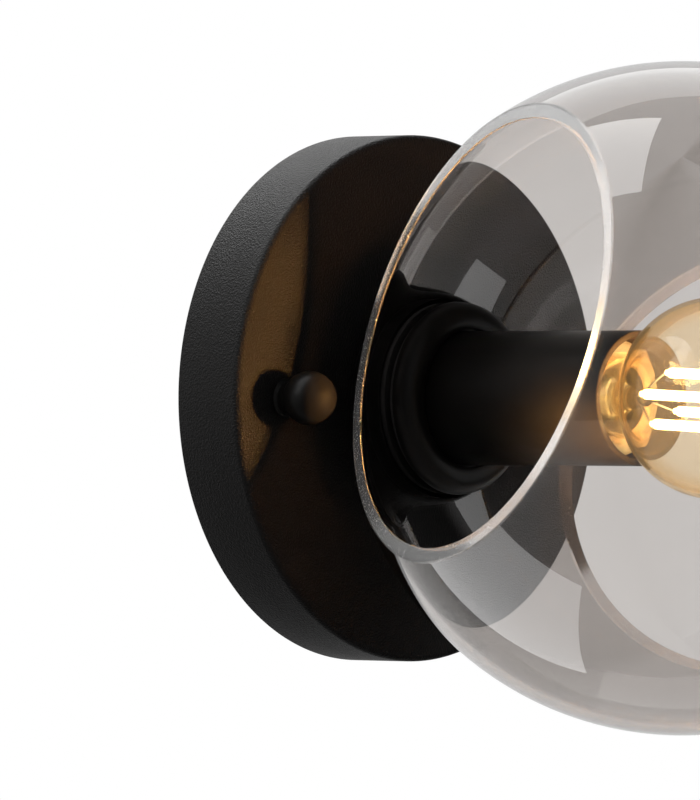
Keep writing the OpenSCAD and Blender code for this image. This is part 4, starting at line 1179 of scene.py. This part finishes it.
class SCONCE_OT_bulb(bpy.types.Operator):
    """Makes the bulb: cap, insulator, tip, glass, stem, lit sticks and their wires"""

    bl_idname = "sconce.bulb"
    bl_label = "Bulb"

    TOP = 79.0          # front edge of the cap at rest, from the wall
    WIRE = 0.28         # radius of the wires that hold the sticks

    def execute(self, context):
        m = sizes_in_mm(context.scene.sconce_sizes)
        self.cap(m)
        self.glass(m)
        self.stem()
        self.cage(m)
        return {"FINISHED"}

    def cap(self, m):
        tip, top, r, sheet, skirt = 53.0, self.TOP, m.cap_radius, 0.35, 8.4
        foot = top - 3.6
        wall = threaded(r, tip + 3.2, foot - 1.6, m.cap_pitch, 0.62, 14)
        outline = ([(r - 0.6, tip + 3.0), (r - sheet, tip + 3.0)] + wall
                   + softened([(r, foot - 1.3, 0), (skirt, foot, 0.5), (skirt, top, 0.12), (skirt - sheet, top, 0.12),
                               (skirt - sheet, foot, 0.4), (r - sheet, foot - 1.3, 0)], 4)
                   + [(a - sheet, h, w) for a, h, w in wall[::-1]])
        piece("bulb_cap_drawn", turned(outline, m.sides, pitch=m.cap_pitch), "bulb", "brass", "bulb_cap", 40)
        low = tip + 0.6
        outline = softened([(0.0, low + 0.6, 0), (2.4, low + 0.6, 0), (2.4, low, 0.1), (3.2, low, 0.3),
                            (r - 0.42, tip + 4.3, 0.3), (r - 0.42, tip + 4.4, 0), (0.0, tip + 4.4, 0)], 4)
        piece("cap_glass", turned(outline, 72), "bulb_contact_end", "black_glass", "bulb_insulator")
        outline = [(0.0, tip)] + arc((1.8, tip + 0.6), 0.6, -85, 0, 8) + [(2.4, tip + 1.2), (0.0, tip + 1.2)]
        piece("tip_solder", turned(outline, 48), "bulb_contact_end", "solder", "bulb_tip", 40)

    def glass(self, m):
        r, ball, top = m.bulb_radius, m.bulb_front - m.bulb_radius, self.TOP
        foot, neck, shoulder, flare = 8.0, 9.2, 8.0, 3.2
        away = neck + shoulder
        drop = math.sqrt((r + shoulder) ** 2 - away ** 2)
        meet = math.degrees(math.atan2(drop, away))

        def line(inset):
            points = [(foot - inset, top - 3.2), (foot - inset, top - 2.6), (foot - inset, top - 1.0)]
            for t in [i / 10 for i in range(1, 10)]:
                points.append((foot - inset + (neck - foot) * t * t * (3 - 2 * t), top - 1.0 + flare * t))
            points += arc((away, ball - drop), shoulder + inset, 180, 180 - meet, 20)
            points += arc((0.0, ball), r - inset, -meet, 90, 72)[1:-1]
            return points + [(0.0, ball + r - inset)]

        bm = turned(line(0.0) + line(m.bulb_wall)[::-1], m.sides)
        piece("bulb_blown", bm, "bulb", "bulb_glass", "bulb_envelope", 60)

    def stem(self):
        """The flared tube inside the bulb, pinched flat where the wires go through it."""
        pinch = self.TOP + 8.0
        outline = softened([(0.0, 76.2, 0), (7.15, 76.2, 0.15), (7.15, 77.0, 0.3), (5.2, 78.1, 0)], 4)
        outline += [(4.0, 79.4), (3.2, 80.6), (2.7, 81.8), (2.6, 83.0)]
        outline += [(r, pinch + h) for r, h in (
            (2.6, -0.8), (2.3, 0.0), (1.5, 0.9), (1.0, 1.5), (0.9, 2.0), (0.9, 4.4), (0.75, 4.9), (0.45, 5.25),
            (0.0, 5.4))]
        bm = turned(outline, 64)
        for v in bm.verts:
            near = max(0.0, 1 - abs(-v.co.y / MM - (pinch - 1.6)) / 2.6)
            v.co.z *= 1 - 0.45 * near * near * (3 - 2 * near)
        bmesh.ops.recalc_face_normals(bm, faces=bm.faces[:])
        piece("stem_pinched", bm, "bulb", "stem_glass", "bulb_stem", 60)

    def cage(self, m):
        """Four lit sticks set on a tilted ring by a node tree, and the wires that hold them."""
        low, length, ring = 91.0, 29.987, m.stick_ring
        lean = math.radians(2.5)
        tilted = Matrix.Rotation(lean, 3, "X")
        # thicker than in the frame, as a bright stick looks
        r = 1.3 * m.stick_radius
        foot = [(r * 0.55, 0.0), (r * 0.6, 0.8), (r * 0.62, 1.0), (r * 0.9, 1.2), (r, 1.5)]
        stick = turned([(0.0, 0.0)] + foot + [(a, length - h) for a, h in foot[::-1]] + [(0.0, length)], 28)

        def on_cage(radius, degrees, z):
            a = math.radians(degrees)
            p = tilted @ Vector((radius * math.cos(a), radius * math.sin(a), z))
            return place(p.x, p.y, low + p.z)

        base = bpy.data.meshes.new("stick_points")
        base.from_pydata([on_cage(ring, a, 0.0) for a in STICK_TURNS], [], [])
        tree = Repeats("lit_sticks", Piece=hidden_piece("stick", stick), Tilt=lean)
        sticks = tree.baked(tree.given["Geometry"], tree.vector(x=tree.given["Tilt"]), "filament", base, 50)
        settle(sticks, "bulb", "filament", "filaments")

        wires = bmesh.new()
        top = length + 0.35
        for a in STICK_TURNS:
            swept([on_cage(radius, a, z) for radius, z in ((1.6, -5.0), (2.6, -3.9), (4.6, -2.0), (ring, -0.35))],
                  self.WIRE, 12, wires)
        for a, b in (STICK_TURNS[:2], STICK_TURNS[2:]):
            first, last = on_cage(ring, a, top), on_cage(ring, b, top)
            swept([first, (first + last) / 2, last], self.WIRE, 12, wires)
        piece("stick_wires", wires, "bulb", "nickel_wire", "filament_supports", 50)


class SCONCE_OT_terminals(bpy.types.Operator):
    """Makes the terminal block with its inserts and screws"""

    bl_idname = "sconce.terminals"
    bl_label = "Terminal block"

    def execute(self, context):
        from_frame("terminal_block", "terminal_strip", "terminal_plastic", 0.15)
        from_frame("terminal_inserts", "terminal_barrels", "brass")
        pitch = 8.0
        low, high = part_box("terminal_screws")
        r, foot = 1.5, (low.y - high.y) / MM
        grub = [(0.0, foot), (r - 0.5, foot), (r, foot + 0.5), (r, -0.15), (r - 0.15, 0.0), (0.0, 0.0)]
        settle(grid_of("clamp_screws", self.slotted(grub, r, 0.7), "zinc_steel", 3, 2, pitch, pitch,
                       (low.z + high.z) / 2 / MM, -low.y / MM), "base", "zinc_steel", "terminal_screws")
        low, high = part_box("block_screws")
        r, shank, head, foot = 2.3, 1.4, -1.4, low.y / MM
        headed = [(0.0, foot), (shank, foot)] + softened(
            [(shank, head, 0), (r, head, 0.1), (r, 0.0, 0.5), (0.0, 0.0, 0)], 4)
        settle(grid_of("ear_screws", self.slotted(headed, r, 0.6), "zinc_steel", 2, 1,
                       (high.x - low.x) / MM - 2 * r, pitch, (low.z + high.z) / 2 / MM, -low.y / MM),
               "base", "zinc_steel", "block_screws")
        return {"FINISHED"}

    def slotted(self, outline, radius, deep):
        """A screw with its top at zero and a slot cut across it, kept out of the scene."""
        solid = as_object("screw_solid", turned(outline, 40), "zinc_steel")
        slot = prism(box_loop(4 * radius, 0.6), -deep, 1.0)
        plain = cut(solid, "screw_slotted", "zinc_steel", [slot])
        mesh = plain.data
        bpy.data.objects.remove(plain)
        return bpy.data.objects.new("screw", mesh)


class SCONCE_OT_leads(bpy.types.Operator):
    """Makes the live, neutral and earth leads between the lampholder, the block and the earth point"""

    bl_idname = "sconce.leads"
    bl_label = "Leads"

    def execute(self, context):
        m = sizes_in_mm(context.scene.sconce_sizes)
        sides = 20
        down = [(6.6, 0, 37.5), (6.6, 0, 33.9), (5.4, 0, 31.5), (3.1, 0, 29.8), (2.2, 0, 25.6), (1.9, 0, 20.2),
                (1.9, 0, 13.0)]
        for node, slot, route in (
                ("live_lead", "lead_brown", [(-x, y, z) for x, y, z in down] + [
                    (-2.2, -1.2, 10.6), (-3.8, -4.2, 8.3), (-7.4, -10, 7.7), (-8, -14.2, 7.7), (-8, -19, 7.7)]),
                ("neutral_lead", "lead_blue", down + [
                    (1.9, -1.2, 10.6), (1.3, -4.2, 8.3), (0.3, -10, 7.7), (0, -14.2, 7.7), (0, -19, 7.7)]),
                ("earth_lead", "lead_green", [
                    (10.5, -4.8, 3), (10.5, -6.6, 3), (10.5, -9, 3), (9.25, -11, 5.35), (8, -13.6, 7.7),
                    (8, -19, 7.7)])):
            bm = swept(smooth_line(route, 10), m.lead_radius, sides)
            obj = as_object(node + "_sleeve", bm, slot, angle=50)
            # each point's share of a turn round its lead, which a stripe along the lead follows
            share = obj.data.attributes.new("round", "FLOAT", "POINT")
            share.data.foreach_set("value", [(i % sides) / sides for i in range(len(obj.data.vertices))])
            settle(obj, "base", slot, node)
        return {"FINISHED"}


class SCONCE_OT_glow(bpy.types.Operator):
    """Sets small warm lights along the lit sticks, which move with the bulb, and their glow in the glass"""

    bl_idname = "sconce.glow"
    bl_label = "Glow"

    def execute(self, context):
        m = sizes_in_mm(context.scene.sconce_sizes)
        for i, turn in enumerate(STICK_TURNS):
            spot = around(m.stick_ring, turn, 116.0)
            self.lamp(f"stick_light_{i}", spot, 4.0, 0.001)
            sheen = self.lamp(f"sheen_light_{i}", spot, 0.45, 0.002)
            sheen.visible_glossy = True
            sheen.light_linking.receiver_collection = lit_only("black_pieces")
        glow = self.lamp("glass_glow", place(-34.0, -18.0, 108.0), 6.0, 0.006, "SPOT")
        glow.data.spot_size = math.radians(40)
        glow.data.spot_blend = 1.0
        way = place(-10.0, -8.0, 82.0) - glow.location
        glow.rotation_euler = way.to_track_quat("-Z", "Y").to_euler()
        return {"FINISHED"}

    def lamp(self, name, spot, watts, radius, kind="POINT"):
        data = bpy.data.lights.new(name, kind)
        data.energy = watts
        data.color = (1.0, 0.52, 0.17)
        data.shadow_soft_size = radius
        lamp = in_scene(name, data)
        lamp.location = spot
        lamp.visible_camera = lamp.visible_glossy = lamp.visible_transmission = False
        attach(lamp, "bulb")
        return lamp


class SCONCE_PT_panel(bpy.types.Panel):
    """Lists the sconce's pieces, sizes and colours"""

    bl_idname = "SCONCE_PT_panel"
    bl_label = "Globe wall sconce"
    bl_space_type = "VIEW_3D"
    bl_region_type = "UI"
    bl_category = "Sconce"

    def draw(self, context):
        column = self.layout.column(align=True)
        for operator in OPERATORS:
            column.operator(operator.bl_idname)
        for group in (context.scene.sconce_sizes, context.scene.sconce_colours):
            box = self.layout.box()
            for key in type(group).__annotations__:
                box.prop(group, key)


OPERATORS = (SCONCE_OT_stage, SCONCE_OT_canopy, SCONCE_OT_bracket, SCONCE_OT_ball_nuts, SCONCE_OT_seat,
             SCONCE_OT_ring, SCONCE_OT_tube, SCONCE_OT_lampholder, SCONCE_OT_globe, SCONCE_OT_bulb,
             SCONCE_OT_terminals, SCONCE_OT_leads, SCONCE_OT_glow)
CLASSES = (SconceSizes, SconceColours, *OPERATORS, SCONCE_PT_panel)


def register():
    for cls in CLASSES:
        bpy.utils.register_class(cls)
    bpy.types.Scene.sconce_sizes = PointerProperty(type=SconceSizes)
    bpy.types.Scene.sconce_colours = PointerProperty(type=SconceColours)


def unregister():
    del bpy.types.Scene.sconce_colours
    del bpy.types.Scene.sconce_sizes
    for cls in reversed(CLASSES):
        bpy.utils.unregister_class(cls)


def main():
    register()
    bpy.ops.sconce.stage()
    bpy.ops.sconce.canopy()
    bpy.ops.sconce.bracket()
    bpy.ops.sconce.ball_nuts()
    bpy.ops.sconce.seat()
    bpy.ops.sconce.ring()
    bpy.ops.sconce.tube()
    bpy.ops.sconce.lampholder()
    bpy.ops.sconce.globe()
    bpy.ops.sconce.bulb()
    bpy.ops.sconce.terminals()
    bpy.ops.sconce.leads()
    bpy.ops.sconce.glow()


if __name__ == "__main__":
    main()
